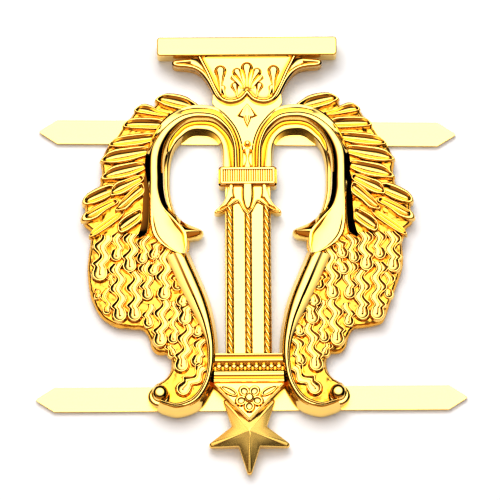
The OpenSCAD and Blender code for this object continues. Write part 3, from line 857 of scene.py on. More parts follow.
    def strip_cut(self, row: Sequence[float]) -> Ring:
        """Cut across the strip: a bevel that rises inwards at an even slope, then a rounded edge.

        Args:
            row: outer edge u and v, inner edge u and v.

        Returns:
            The cut's outline.
        """
        outer, inner = row[0:2], row[2:4]
        top, foot = self.strip_top, 0.6
        low = top - self.strip_slope * math.dist(outer, inner)
        bevel = ((0, foot), (0, low), (0.5, (low + top) / 2), (0.92, 2.82))
        edge = ((0.96, 2.8), (1, 2.65), (1.1, foot))
        return [(*mix(outer, inner, s), z) for s, z in (*bevel, *edge)]

    def build(self) -> None:
        """Makes the neck with its head, the beak and the bevelled strip."""
        neck = self.shell()
        neck.loft([self.section(row) for row in smooth(self.CUTS, 7)])
        neck.build(self.name("neck"), Gilding.POLISHED, 35)
        beak = self.shell()
        beak.ridge(smooth(self.BEAK, 3, closed=True), *self.BEAK_AXIS, self.BEAK_STEPS)
        beak.loft([self.strip_cut(row) for row in smooth(self.STRIP, 5)])
        beak.build(self.name("beak_and_strip"), Gilding.POLISHED, 30)


# Wings


@dataclass(frozen=True)
class Feather:
    """Outline of a feather, the scoop down its middle, and the layer it lies in."""

    edge: tuple[Place, ...]
    scoop: tuple[Place, Place]
    layer: float = 0


@dataclass(frozen=True)
class Lock:
    """A wavy lock that ends in a drop: its root, its drop and the side of its first bend."""

    root: Place
    drop: Place
    bend: int
    half: float = 1.08
    layer: float = 0


@dataclass
class Wing(Form):
    """One wing: a ground plate, twelve feathers and the rows of locks below them."""

    plate: float = 1.35
    feather_top: float = 2.5
    feather_swell: float = 1.12
    root_fall: float = 0.45
    lock_top: float = 2.25
    # A lock's wave length, how far its edges and its core sway, and by how much the two edges differ
    wave: float = 3.1
    sway: float = 0.52
    sway_apart: float = 0.08
    core_sway: float = 0.36
    # Where the wave starts beyond the ribbon's end, how far its left edge leads, and where it dies out
    wave_start: float = 0.4
    lead: float = 0.35
    calm: float = 0.5
    # A lock's ribbon and the drop at its end, in its own half widths; the ribbon's end, in the drop's radii
    ribbon: float = 1.02
    bulb: float = 1.28
    ribbon_end: float = 0.62
    row_pitch: float = 0.16

    # Border of the ground plate: how far in and at what height
    GROUND_STEPS = ((0, 0), (0.02, 0.45), (0.16, 0.92), (0.3, 1.17), (0.44, 1.3), (0.56, 1.35))
    # Across a feather: share of the way to its scoop and drop below the rim
    FEATHER_STEPS = (
        (0, 0.95), (0.04, 0.55), (0.08, 0.26), (0.13, 0.1), (0.19, 0.03), (0.27, 0), (0.42, 0.02),
        (0.46, 0.07), (0.55, 0.18), (0.66, 0.3), (0.77, 0.38), (0.88, 0.43), (0.97, 0.45),
    )
    FEATHERS = (
        Feather(
            ((14.8, 25.5), (13.7, 26.3), (12.3, 26.5), (10.3, 26.2), (8.6, 25.4), (7.6, 24.4), (9.4, 23.9),
             (11, 23.9), (13, 24.4), (14.4, 25)),
            ((13.6, 25.7), (9.2, 24.6)),
        ),
        Feather(
            ((18.1, 23.9), (17.2, 24.6), (16.2, 24.8), (15.1, 24.4), (13.9, 23.8), (12, 23.4), (11.8, 22.6),
             (13.2, 22.7), (16.2, 23.1), (17.9, 23.4)),
            ((17.3, 23.9), (13, 23.1)),
        ),
        Feather(
            ((20, 21.2), (19.1, 22.2), (17.1, 22.6), (13.6, 22.4), (13.2, 21), (14.1, 20.6), (17.9, 20.7),
             (19.6, 20.8)),
            ((19.1, 21.5), (14, 21.5)),
        ),
        Feather(
            ((22.3, 18), (21.4, 18.9), (20.5, 19.4), (18.8, 19.8), (14.8, 20.1), (14.6, 18.9), (15.5, 18.5),
             (17.3, 18), (20, 17.7), (21.9, 17.7)),
            ((21.4, 18.4), (15.2, 19.3)), 0.05,
        ),
        Feather(
            ((23.6, 15.4), (22.6, 16.6), (21.4, 17.3), (19.7, 17.6), (15.9, 17.9), (15.8, 16.4),
             (16.4, 16.2), (18.8, 15.4), (21.4, 15), (23.2, 15.1)),
            ((22.5, 15.8), (16.2, 17.1)), 0.1,
        ),
        Feather(
            ((23.6, 12.5), (22.8, 13.5), (21.6, 14.5), (19.7, 15), (16.6, 15.4), (16.2, 14.2), (16.6, 13.8),
             (18.7, 12.8), (21.4, 12.3), (23.2, 12.2)),
            ((22.3, 13.1), (16.6, 14.7)), 0.15,
        ),
        Feather(
            ((26.5, 8.6), (26.1, 9.6), (24.9, 10.5), (23.2, 11.4), (21.4, 11.8), (20.8, 10.3), (21.6, 9.8),
             (23.2, 8.9), (25, 8.2), (26.1, 8.1)),
            ((25.3, 9.1), (21.6, 10.7)),
        ),
        Feather(
            ((26.7, 5.7), (26.3, 6.7), (24.9, 7.6), (23.2, 8.6), (21.4, 9.4), (20.5, 8.6), (22.4, 7.4),
             (24.4, 5.7), (26.1, 5.3)),
            ((24.9, 6.8), (21.4, 8.8)), 0.1,
        ),
        Feather(
            ((25.4, 3), (24.8, 4.1), (23.2, 5.4), (21.5, 6.6), (20, 7.5), (19.6, 6.8), (21.5, 5),
             (23.8, 3.4), (25.1, 2.8)),
            ((24.8, 3.5), (20.3, 6.9)), 0.05,
        ),
        Feather(
            ((22, 9.6), (21.7, 10.9), (20.9, 11.9), (19.7, 12.3), (17.2, 13.2), (16.4, 12.3), (18, 11.1),
             (19.7, 9.95), (21.3, 9.5)),
            ((21.4, 10.4), (17.2, 12.6)), 0.3,
        ),
        Feather(
            ((21.2, 7), (20.6, 8.4), (19.4, 9.8), (18, 11.2), (16.8, 11.9), (16.4, 10.1), (18, 8.7),
             (19.4, 7.3)),
            ((20.6, 7.8), (16.9, 11)), 0.35,
        ),
        Feather(
            ((20.8, 4.1), (20.8, 5), (19.9, 6.1), (18.7, 6.9), (17.1, 7.7), (16.9, 5.7), (18.7, 4.1),
             (20, 3.3), (20.7, 3.7)),
            ((20.2, 4.5), (17.2, 6.8)), 0.25,
        ),
    )
    # Border of the ground plate: along the feathers, round the outer lobe of each wing, then back
    GROUND = (
        (10.5, 22.5), (9.5, 24.6), (11.5, 26), (14.2, 25.5), (15.4, 24.4), (17.8, 24), (18.9, 22.6),
        (19.9, 21.4), (20.9, 19.8), (22.2, 18.4), (22.9, 17.1), (23.5, 15.4), (23.3, 14.1), (23.5, 12.5),
        (23.9, 11.4), (25.4, 10.3), (26.2, 9.2), (26, 7.7), (26.4, 6.2), (26.1, 5.1), (25.1, 4.2),
        (25.1, 3.2),
    )
    LOBE_RIGHT = (
        (24.6, 2.3), (24.7, 0), (24.6, -1.9), (23.9, -4.2), (23, -6.6), (22.4, -8.2), (21.7, -10.2),
        (20.9, -11.2),
    )
    LOBE_LEFT = (
        (25.2, 2), (25.6, -1.2), (25.5, -4), (25.1, -6.4), (24.3, -8.5), (23.1, -10.2), (21.6, -11.2),
        (20.4, -11.6),
    )
    LOWER = (
        (18.4, -11.8), (16.8, -12), (15.9, -13.2), (15.4, -15), (14.4, -15.9), (12.7, -16.1), (12.3, -17.4),
        (12.6, -19), (13.5, -20.1), (15.2, -21.3), (14.2, -24.2), (9.6, -24.6), (7, -22.2), (5.7, -18),
        (5.8, -14), (7, -9), (8.6, -4.5), (10, -0.5), (11, 2.5), (13, 6), (14, 10), (14.3, 14),
        (13.4, 17.6), (12, 20),
    )
    # Cut across a lock from its foot to its middle ridge: share of the way in, then the drop below
    # the rim on the left side and on the right side
    LOCK_CUT = (
        (0, 0.95, 0.95), (0.08, 0.84, 0.84), (0.13, 0.55, 0.55), (0.17, 0.18, 0.18), (0.2, 0.04, 0.04),
        (0.23, 0, 0), (0.34, 0, 0), (0.38, 0.03, 0.05), (0.46, 0.06, 0.11), (0.56, 0.09, 0.18),
        (0.68, 0.1, 0.25), (0.8, 0.09, 0.28), (0.9, 0.07, 0.26), (0.97, 0.06, 0.2),
    )
    LOCKS = (
        Lock((14.1, 2.4), (15, 0.1), 1, 0.95),
        Lock((16.4, 3.2), (16.9, -0.6), -1, 0.9, -0.2),
        Lock((20.7, 3.8), (21, 0), -1, 0.95, -0.2),
        Lock((18.55, 3.5), (18.85, -1.75), 1),
        Lock((14.6, -0.7), (15.2, -2.5), -1, 0.95),
        Lock((16.3, -1.2), (16.1, -6.4), 1, 0.95, -0.25),
        Lock((13.3, 1.2), (13.45, -6.4), -1),
        Lock((11.4, -1), (11.3, -5), 1, 0.85, -0.2),
        Lock((18.1, -2.7), (18.1, -9.7), 1),
        Lock((20.9, -1.4), (20.45, -9.75), 1),
        Lock((9.9, -5), (10.6, -7.6), -1, 0.95),
        Lock((9.4, -8.1), (10.15, -10.4), 1),
        Lock((15.9, -8), (15.9, -11), 1, 0.85, -0.3),
        Lock((13.5, -7.2), (14.05, -13.9), 1),
        Lock((11.8, -7.6), (12, -13.6), -1, 0.85, -0.2),
        Lock((7.6, -9.6), (8.2, -12.6), -1, 0.9),
        Lock((9.7, -11.3), (10.7, -18), 1),
        Lock((12.4, -14.6), (12.1, -16), 1, 0.7, -0.3),
        Lock((7.4, -13.6), (8.3, -17.3), -1, 0.9, -0.1),
        Lock((7.1, -18.4), (10.4, -21.8), 1),
    )
    # Locks of the outer lobe, which the two wings don't share
    OUTER_RIGHT = (Lock((23, 3.6), (23.1, -2), 1), Lock((22.2, -1.6), (22.3, -6.6), -1, 0.7, -0.3))
    OUTER_LEFT = (
        Lock((22.9, 3.3), (23.6, -3), 1, 1.2), Lock((23.6, -5.7), (24, -6.7), 1, 0.5, -0.1),
        Lock((22.7, -5.4), (22.5, -9), -1, 0.62, -0.1), Lock((21.7, -2.2), (21.7, -4.6), 1, 0.6, -0.2),
    )

    def feather(self, shell: Shell, feather: Feather) -> None:
        """Adds one feather: a rim round a scooped channel.

        Args:
            shell: shell that takes it.
            feather: its outline, scoop and layer.
        """
        outline = smooth(feather.edge, 4, closed=True)
        core = core_of(outline, *feather.scoop)
        tip, root = (Vector(end) for end in feather.scoop)
        way = root - tip
        shares = [min(1.0, max(0.0, (Vector(p) - tip).dot(way) / way.length_squared)) for p in outline]
        # Both ends keep their shape, and the sides between them swell
        pairs = zip(outline, core, shares)
        outline = [mix(c, p, self.feather_swell) if 0.03 < s < 0.97 else p for p, c, s in pairs]
        foot = self.plate - 0.3 if feather.layer else 0
        rise = self.feather_top + feather.layer
        steps = [(0, [foot] * len(outline))]
        for share, drop in self.FEATHER_STEPS:
            steps.append((share, [rise - drop - self.root_fall * s**1.5 for s in shares]))
        shell.pebble(outline, core, steps)

    def lock(self, shell: Shell, lock: Lock) -> None:
        """Adds one lock: a wavy ribbon with raised edges that ends in a round drop.

        Args:
            shell: shell that takes it.
            lock: where it runs.
        """
        root, drop = Vector(lock.root), Vector(lock.drop)
        way = (drop - root).normalized()
        side = left_of(way)
        bulb, wide = lock.half * self.bulb, lock.half * self.ribbon
        length = (drop - root).length - bulb * self.ribbon_end
        steps = max(5, int(length / self.row_pitch))
        flanks: list[list[tuple[Place, Place, float]]] = [[], []]
        for k in range(steps + 1):
            along = length * k / steps
            turn = math.tau * (length - along + self.wave_start) / self.wave
            # The waves die out where the ribbon runs into its drop
            calm = min(1.0, (length - along) / self.calm)
            sways = math.sin(turn + self.lead), math.sin(turn)
            middle = root + way * along + side * lock.bend * self.core_sway * calm * sum(sways) / 2
            for flank, turned, sway in zip(flanks, (-1, 1), sways):
                swing = lock.bend * (self.sway + self.sway_apart * turned) * calm * sway
                edge = root + way * along + side * (swing + turned * wide)
                flank.append((tuple(edge), tuple(middle), (turned + 1) / 2))
        arc = []
        facets, half_arc = 18, 128
        for k in range(1, facets):
            angle = math.radians(half_arc * (2 * k / facets - 1))
            edge = drop + bulb * (way * math.cos(angle) + side * math.sin(angle))
            arc.append((tuple(edge), tuple(drop), (1 + math.sin(angle)) / 2))
        whole = flanks[0] + arc + list(reversed(flanks[1]))
        outline, core, turns = zip(*whole)
        top = self.lock_top + lock.layer
        cut = [(s, [top - mix_number(left, right, t) for t in turns]) for s, left, right in self.LOCK_CUT]
        shell.pebble(outline, core, cut)

    def build(self) -> None:
        """Makes the ground plate, the feathers and the locks."""
        lobe, outer = self.LOBE_LEFT, self.OUTER_LEFT
        if self.side > 0:
            lobe, outer = self.LOBE_RIGHT, self.OUTER_RIGHT
        ground = self.shell()
        ground.slab(smooth((*self.GROUND, *lobe, *self.LOWER), 3, closed=True), self.GROUND_STEPS)
        ground.build(self.name("wing_ground"), Gilding.GROUND)
        feathers = self.shell()
        for feather in self.FEATHERS:
            self.feather(feathers, feather)
        feathers.build(self.name("feathers"), Gilding.CHASED, 50)
        locks = self.shell()
        for lock in (*self.LOCKS, *outer):
            self.lock(locks, lock)
        locks.build(self.name("locks"), Gilding.CHASED, 50)


@dataclass
class Arm(Form):
    """A lower arm that curls round to a ball."""

    top: float = 3.5
    boss_r: float = 1.75
    ball_r: float = 1.4

    # Edge towards the column, edge towards the wing, then shares of the way across for the end of the
    # side wall, both ends of the crest and the end of the line beside it, and the height at the wing
    ROWS = (
        (9.35, 0.6, 13.2, -0.4, 0.14, 0.2, 0.6, 0.71, 2.84),
        (8.5, -1.5, 12.2, -2.6, 0.15, 0.21, 0.6, 0.7, 2.83),
        (7.5, -3.8, 11.2, -4.9, 0.15, 0.21, 0.61, 0.69, 2.83),
        (6.1, -7.5, 9.5, -8.4, 0.16, 0.22, 0.63, 0.7, 2.86),
        (5.3, -11, 7.9, -11.5, 0.18, 0.25, 0.68, 0.76, 2.98),
        (4.85, -14.8, 6.75, -14.9, 0.22, 0.3, 0.78, 0.88, 3.08),
        (5.05, -18.4, 6.6, -18.1, 0.24, 0.34, 0.8, 0.92, 3.1),
        (5.75, -21.8, 7.3, -21, 0.3, 0.4, 0.8, 0.92, 3.1),
        (7.8, -24.9, 8.9, -23.3, 0.34, 0.44, 0.78, 0.9, 3.1),
        (11, -26.15, 11.3, -24.3, 0.36, 0.46, 0.78, 0.9, 3.1),
        (13.4, -25.7, 12.9, -24, 0.36, 0.48, 0.76, 0.9, 3.1),
        (14.6, -25.1, 13.9, -23.7, 0.36, 0.5, 0.76, 0.9, 3),
    )
    BOSS = (14.25, -23)
    BALL = (14.1, -22.6)
    BALL_STEPS = (
        (0, 1.6), (0, 2.2), (0.05, 2.6), (0.12, 2.9), (0.22, 3.14), (0.36, 3.32), (0.55, 3.45),
        (0.76, 3.51), (0.97, 3.53),
    )

    def ring(self, row: Sequence[float]) -> Ring:
        """Cut across the arm.

        Args:
            row: both edges, the shares of the cut's corners and the height at the wing.

        Returns:
            The cut's outline.
        """
        near, far = row[0:2], row[2:4]
        wall, start, end, line, far_z = row[4:]
        top = self.top
        flat = end - start
        shares = [
            (0, 0), (0.01, 0.9), (wall * 0.6, 1.7), (wall, 2.3), (mix_number(wall, start, 0.35), top - 0.72),
            (start, top - 0.4), (start + flat * 0.23, top - 0.17), (start + flat * 0.43, top - 0.06),
            (start + flat * 0.66, top), (start + flat * 0.85, top - 0.03), (end, top - 0.1),
            (mix_number(end, line, 0.7), top - 0.28), (line, top - 0.29), (mix_number(line, 1, 0.9), far_z),
            (1, far_z - 0.4), (1, 0.6),
        ]
        return [(*mix(near, far, s), z) for s, z in shares]

    def build(self) -> None:
        """Makes the arm, its boss and its ball."""
        shell = self.shell()
        shell.loft([self.ring(row) for row in smooth(self.ROWS, 8)])
        shell.slab(circle(self.BOSS, self.boss_r, 28), rounded(0, 2.2, 0.5))
        shell.button(self.BALL, self.ball_r, 28, self.BALL_STEPS)
        shell.build(self.name("arm"), Gilding.POLISHED, 37)


# Column, band and lily


@dataclass
class Column(Form):
    """The shaft with two flat flutes between three twisted ropes."""

    half: float = 3.65
    height: float = 1.95
    shaft_top: float = 12.0
    top: float = 8.0
    bottom: float = -16.2
    ropes: tuple[float, ...] = (-2.88, 0.03, 2.98)
    rope_half: float = 0.62
    rope_rise: float = 0.75
    pitch: float = 1.12
    lean: float = 1.5
    # How much lower a rope is between two strands, as a share of its rise, and how full both are
    furrow: float = 0.45
    strand_power: float = 3.5
    rope_power: float = 0.35
    # Rows of the mesh to each strand, and places on each side of its middle
    fine: int = 8
    across: int = 6

    def rope(self, shell: Shell, middle: float) -> None:
        """Adds one rope, whose strands lean down to the right. The rows of its mesh lean with them.

        Args:
            shell: shell that takes it.
            middle: where it runs.
        """
        reach = self.lean * self.rope_half
        steps = int((self.top - self.bottom + 2 * reach) / self.pitch * self.fine) + 1
        sunk = self.height - 0.3
        rings = []
        for k in range(steps + 1):
            start = self.top + reach - self.pitch * k / self.fine
            strand = 1 - self.furrow * abs(2 * (k % self.fine) / self.fine - 1) ** self.strand_power
            ring = []
            for j in range(-self.across, self.across + 1):
                t = math.sin(math.pi / 2 * j / self.across)
                v = min(self.top, max(self.bottom, start - reach * t))
                round_off = max(0.0, 1 - t * t) ** self.rope_power
                z = self.height - 0.05 + self.rope_rise * round_off * strand
                ring.append((middle + t * self.rope_half, v, z))
            rings.append([(*ring[0][:2], sunk), *ring, (*ring[-1][:2], sunk)])
        shell.loft(rings)

    def build(self) -> None:
        """Makes the shaft and its ropes."""
        shaft = self.shell()
        low, high = self.bottom, self.shaft_top
        outline = [(-self.half, low), (self.half, low), (self.half, high), (-self.half, high)]
        shaft.slab(outline, rounded(0, self.height, 0.12, 3))
        shaft.build("column_shaft", Gilding.POLISHED)
        ropes = self.shell()
        for middle in self.ropes:
            self.rope(ropes, middle)
        ropes.build("column_ropes", Gilding.POLISHED, 60)


@dataclass
class Band(Form):
    """The band across the column, with its ribbed panel."""

    middle: Place = (0, 12.65)
    half_wide: float = 4.4
    half_high: float = 1.42
    height: float = 3.35
    corner: float = 0.3
    border: float = 0.51
    ribs: int = 21

    # Round the border: how far in and how far from the band's top
    BORDER = (
        (-0.24, -0.95), (-0.02, -0.75), (0, -0.2), (0.05, -0.07), (0.13, 0), (0.4, 0), (0.46, -0.06),
        (0.51, -0.55),
    )
    # Cut across a rib: share of half its width, and how far from the band's top
    RIB = (
        (-1, -0.46), (-0.72, -0.26), (-0.5, -0.18), (0, -0.16), (0.5, -0.18), (0.72, -0.26), (1, -0.46),
        (0, -0.7),
    )

    def build(self) -> None:
        """Makes the band, its panel and the ribs."""
        shell = self.shell()
        outline = round_box(self.middle, self.half_wide, self.half_high, self.corner, 4)
        shell.slab(outline, [(-0.28, 0), *on_level(self.height, self.BORDER)])
        shell.build("column_band", Gilding.POLISHED)
        panel = self.shell()
        half_u, half_v = self.half_wide - self.border, self.half_high - self.border
        pitch = 2 * half_u / self.ribs
        for i in range(self.ribs):
            u = -half_u + (i + 0.5) * pitch
            ends = self.middle[1] - half_v, self.middle[1] + half_v
            panel.loft([[(u + pitch * 0.5 * t, v, self.height + z) for t, z in self.RIB] for v in ends])
        panel.build("band_ribs", Gilding.POLISHED)


@dataclass
class Lily(Form):
    """The lily ornament between the band and the shaft."""

    height: float = 3.0
    ground: float = 2.35
    top: float = 11.6

    LEAF = (
        (0, 6.15), (0.4, 6.5), (0.8, 7.05), (1.2, 7.85), (1.6, 8.35), (2.3, 8), (3, 7.5), (3.7, 7),
        (4.4, 6.65), (5.1, 6.65), (5.35, 6.9), (5.1, 7.3), (4.5, 7.85), (3.9, 8.6), (3.5, 9.5), (3.3, 10.4),
        (3.25, 11.6),
    )
    # Border of the leaf: how far in and how far from its ground
    LEAF_STEPS = ((0, -0.3), (0.06, -0.1), (0.16, 0), (0.2, 0))
    BORDER = ((0, 6.45), (0.75, 7.35), (1.55, 8.75), (2.6, 8.2), (3.6, 7.45), (4.4, 7.05), (5, 7))
    PETAL = ((0, 6.9), (0.6, 7.6), (1, 8.8), (1.1, 10), (1, 11.6))
    PETAL_AXIS = ((0, 7.6), (0, 11.6))
    SIDE_PETAL = (
        (1.9, 9.1), (2.3, 9), (2.9, 8.3), (3.7, 7.6), (4.7, 7.15), (4.2, 7.8), (3.5, 8.7), (3.1, 9.8),
        (3, 11.4), (2.2, 11.4), (2.1, 10),
    )
    SIDE_AXIS = ((2.7, 11), (3.6, 8.1))

    def build(self) -> None:
        """Makes the ground leaf, its raised border and the three petals."""
        shell = self.shell()
        leaf = mirrored([*smooth(self.LEAF, 2), (0, self.top)])
        shell.slab(leaf, [(0, 0), *on_level(self.ground, self.LEAF_STEPS)])
        foot = self.ground - 0.1
        for side in (1, -1):
            shell.side = side
            sweep(shell, smooth(self.BORDER, 4), 0.16, 0.14, self.height - 0.3, self.ground - 0.3)
            petal = smooth(self.SIDE_PETAL, 3, closed=True)
            shell.ridge(petal, *self.SIDE_AXIS, mound(foot, self.height - 0.05, 0.12))
        shell.side = 1
        shell.ridge(mirrored(smooth(self.PETAL, 3)), *self.PETAL_AXIS, mound(foot, self.height + 0.25, 0.12))
        shell.build("lily", Gilding.POLISHED)


# Base, cartouche and star


@dataclass
class Base(Form):
    """The base mouldings with a row of beads."""

    half_top: float = 5.3
    half_bottom: float = 5.6
    beads: int = 9
    bead_pitch: float = 1.183
    bead_v: float = -18.4
    bead_r: float = 0.5
    # Small studs between the beads: below each bead and above each gap
    low_studs_v: float = -19.12
    high_studs_v: float = -17.72
    stud_r: float = 0.2

    BEAD_STEPS = ((0, 2.1), (0.06, 2.5), (0.16, 2.68), (0.3, 2.78), (0.5, 2.83), (0.97, 2.85))
    # Steps down the front of the base: v and height
    PROFILE = (
        (-16.3, 0), (-16.3, 2.8), (-16.36, 2.86), (-16.52, 2.87), (-16.58, 2.84), (-16.9, 2.52),
        (-17.2, 2.82), (-17.26, 2.87), (-17.5, 2.86), (-17.58, 2.82), (-18.36, 2.1), (-18.44, 2.1),
        (-19.22, 2.8), (-19.28, 2.83), (-19.42, 2.83), (-19.46, 2.7), (-19.56, 2.69), (-19.6, 2.82),
        (-19.76, 2.82), (-19.82, 2.8), (-20.06, 2.54), (-20.3, 2.8), (-20.36, 2.84), (-20.42, 2.82),
        (-20.47, 2.62), (-20.57, 2.61), (-20.62, 2.8), (-20.7, 2.84), (-20.84, 2.82), (-20.92, 2.62),
        (-21.06, 2.2), (-21.1, 0),
    )

    def build(self) -> None:
        """Makes the mouldings and the beads."""
        shell = self.shell()
        v_top, v_bottom = self.PROFILE[0][0], self.PROFILE[-1][0]
        rings = []
        for side in (-1, 1):
            ring = []
            for v, z in self.PROFILE:
                share = (v_top - v) / (v_top - v_bottom)
                ring.append((side * mix_number(self.half_top, self.half_bottom, share), v, z))
            rings.append(ring)
        shell.loft(rings)
        shell.build("base_mouldings", Gilding.POLISHED, 30)
        beads = self.shell()
        for i in range(self.beads):
            u = (i - (self.beads - 1) / 2) * self.bead_pitch
            beads.button((u, self.bead_v), self.bead_r, 18, self.BEAD_STEPS)
            studs = [(u, self.low_studs_v)]
            if i < self.beads - 1:
                studs.append((u + self.bead_pitch / 2, self.high_studs_v))
            for stud in studs:
                beads.button(stud, self.stud_r, 10, dome(2.45, 2.8, 3))
        beads.build("base_beads", Gilding.POLISHED)


@dataclass
class Cartouche(Form):
    """The three-cornered cartouche with a five-petalled flower between two leaves."""

    height: float = 3.0
    field: float = 2.5
    flower: Place = (0.03, -23.55)
    petals: int = 5
    # The way the first petal points, in degrees from the right
    first_petal: float = 54
    petal_facets: int = 14
    petal_reach: float = 1.35
    petal_long: float = 1.08
    petal_wide: float = 0.98

    EDGE = ((-5.75, -20.75), (5.75, -20.75), (5.7, -21.5), (0, -27.6), (-5.7, -21.5))
    FRAME = ((5.45, -21.25), (0, -27.05))
    LEAF = (
        (1.75, -23.2), (1.95, -22.4), (2.7, -21.75), (3.7, -21.5), (4.7, -21.55), (4.3, -22.2),
        (3.6, -22.9), (2.6, -23.3),
    )
    LEAF_AXIS = ((2.6, -22.7), (3.9, -21.9))
    # Up a petal and up a leaf: share of the way in and height above the field
    PETAL_STEPS = (
        (0, -0.02), (0.08, 0.08), (0.16, 0.3), (0.24, 0.45), (0.32, 0.48), (0.42, 0.47), (0.48, 0.4),
        (0.6, 0.34), (0.8, 0.29), (0.97, 0.27),
    )
    LEAF_STEPS = (
        (0, -0.02), (0.1, 0.1), (0.2, 0.36), (0.28, 0.44), (0.42, 0.44), (0.5, 0.36), (0.7, 0.29),
        (0.95, 0.26),
    )

    def petal(self, shell: Shell, turn: float) -> None:
        """Adds one petal of the flower.

        Args:
            shell: shell that takes it.
            turn: the way it points, in degrees from the right.
        """
        out = heading(turn)
        side = left_of(out)
        middle = Vector(self.flower) + out * self.petal_reach
        outline = []
        for a, b in circle((0, 0), 1, self.petal_facets):
            outline.append(tuple(middle + out * self.petal_long * a + side * self.petal_wide * b))
        shell.pebble(outline, [tuple(middle)] * self.petal_facets, on_level(self.field, self.PETAL_STEPS))

    def build(self) -> None:
        """Makes the framed plate, the flower and the leaves."""
        top, field = self.height, self.field
        shell = self.shell()
        shell.slab(self.EDGE, [(0, 0), (0, top - 1.3), (0.3, top - 0.55), (0.36, field), (0.42, field)])
        for side in (1, -1):
            shell.side = side
            sweep(shell, self.FRAME, 0.2, 0.16, top - 0.05, field - 0.2)
        shell.build("cartouche", Gilding.POLISHED, 30)
        relief = self.shell()
        for i in range(self.petals):
            self.petal(relief, self.first_petal + 360 * i / self.petals)
        relief.button(self.flower, 0.95, 24, mound(field + 0.1, field + 1.1))
        for side in (1, -1):
            relief.side = side
            leaf = smooth(self.LEAF, 3, closed=True)
            relief.ridge(leaf, *self.LEAF_AXIS, on_level(field, self.LEAF_STEPS))
        relief.build("cartouche_flower", Gilding.POLISHED)


@dataclass
class Star(Form):
    """The five-pointed star, one point down, with ridged arms and blunt tips."""

    middle: Place = (0.0, -28.85)
    radius: float = 6.65
    notch: float = 0.435
    peak: float = 3.1
    tip_z: float = 1.35
    notch_z: float = 2.15
    tip_r: float = 0.42
    points: int = 5
    # Half the arc of a blunt tip in degrees, and the facets in it
    tip_arc: float = 72
    tip_facets: int = 4

    # Rounded edge of the facets: share of the way to the peak, and how far below them
    EDGE = ((0, 0.35), (0.022, 0.1), (0.045, 0))
    # Shares of the way to the peak where the ridges are cut
    RIDGES = (0.3, 0.6, 0.8, 0.985)

    def build(self) -> None:
        """Makes the star from its outline, its ridges and its peak."""
        outline, heights = [], []
        middle = Vector(self.middle)
        pitch = 360 / self.points
        for i in range(self.points):
            out = heading(-90 + pitch * i)
            side = left_of(out)
            tip = middle + out * (self.radius - self.tip_r)
            for k in range(-self.tip_facets, self.tip_facets + 1):
                turn = math.radians(self.tip_arc * k / self.tip_facets)
                outline.append(tuple(tip + self.tip_r * (out * math.cos(turn) + side * math.sin(turn))))
                heights.append(self.tip_z)
            hollow = middle + heading(-90 + pitch * (i + 0.5)) * self.radius * self.notch
            outline.append(tuple(hollow))
            heights.append(self.notch_z)
        steps = [(0, [0.0] * len(outline))]
        steps += [(share, [h - drop for h in heights]) for share, drop in self.EDGE]
        steps += [(share, [mix_number(h, self.peak, share) for h in heights]) for share in self.RIDGES]
        shell = self.shell()
        shell.pebble(outline, [self.middle] * len(outline), steps)
        shell.build("star", Gilding.SATIN, 12)


# Back


@dataclass
class Studs(Form):
    """Four studs on the back, each peened into a strip's countersink."""

    shank: float = 0.75
    head: float = 1.15
    head_t: float = 0.3
    # Where the strips' holes are: the upper strip lies a little askew
    upper: Place = (17, 20.45)
    upper_turn: float = -0.8
    lower: Place = (11.5, -23.05)

    def build(self) -> None:
        """Makes the studs where the strips' holes are."""
        shell = self.shell()
        floor = -self.relief.back / self.relief.rise
        slope = math.tan(math.radians(self.upper_turn))
        for (u, v), rise in ((self.upper, slope), (self.lower, 0)):
            for side in (1, -1):
                spot = (side * u, v + side * u * rise)
                cuts = ((self.head, floor), (self.shank, floor + self.head_t), (self.shank, 0.5))
                shell.loft([[(*place, z) for place in circle(spot, radius, 24)] for radius, z in cuts])
        shell.build("back_studs", Gilding.SATIN)


# Studio


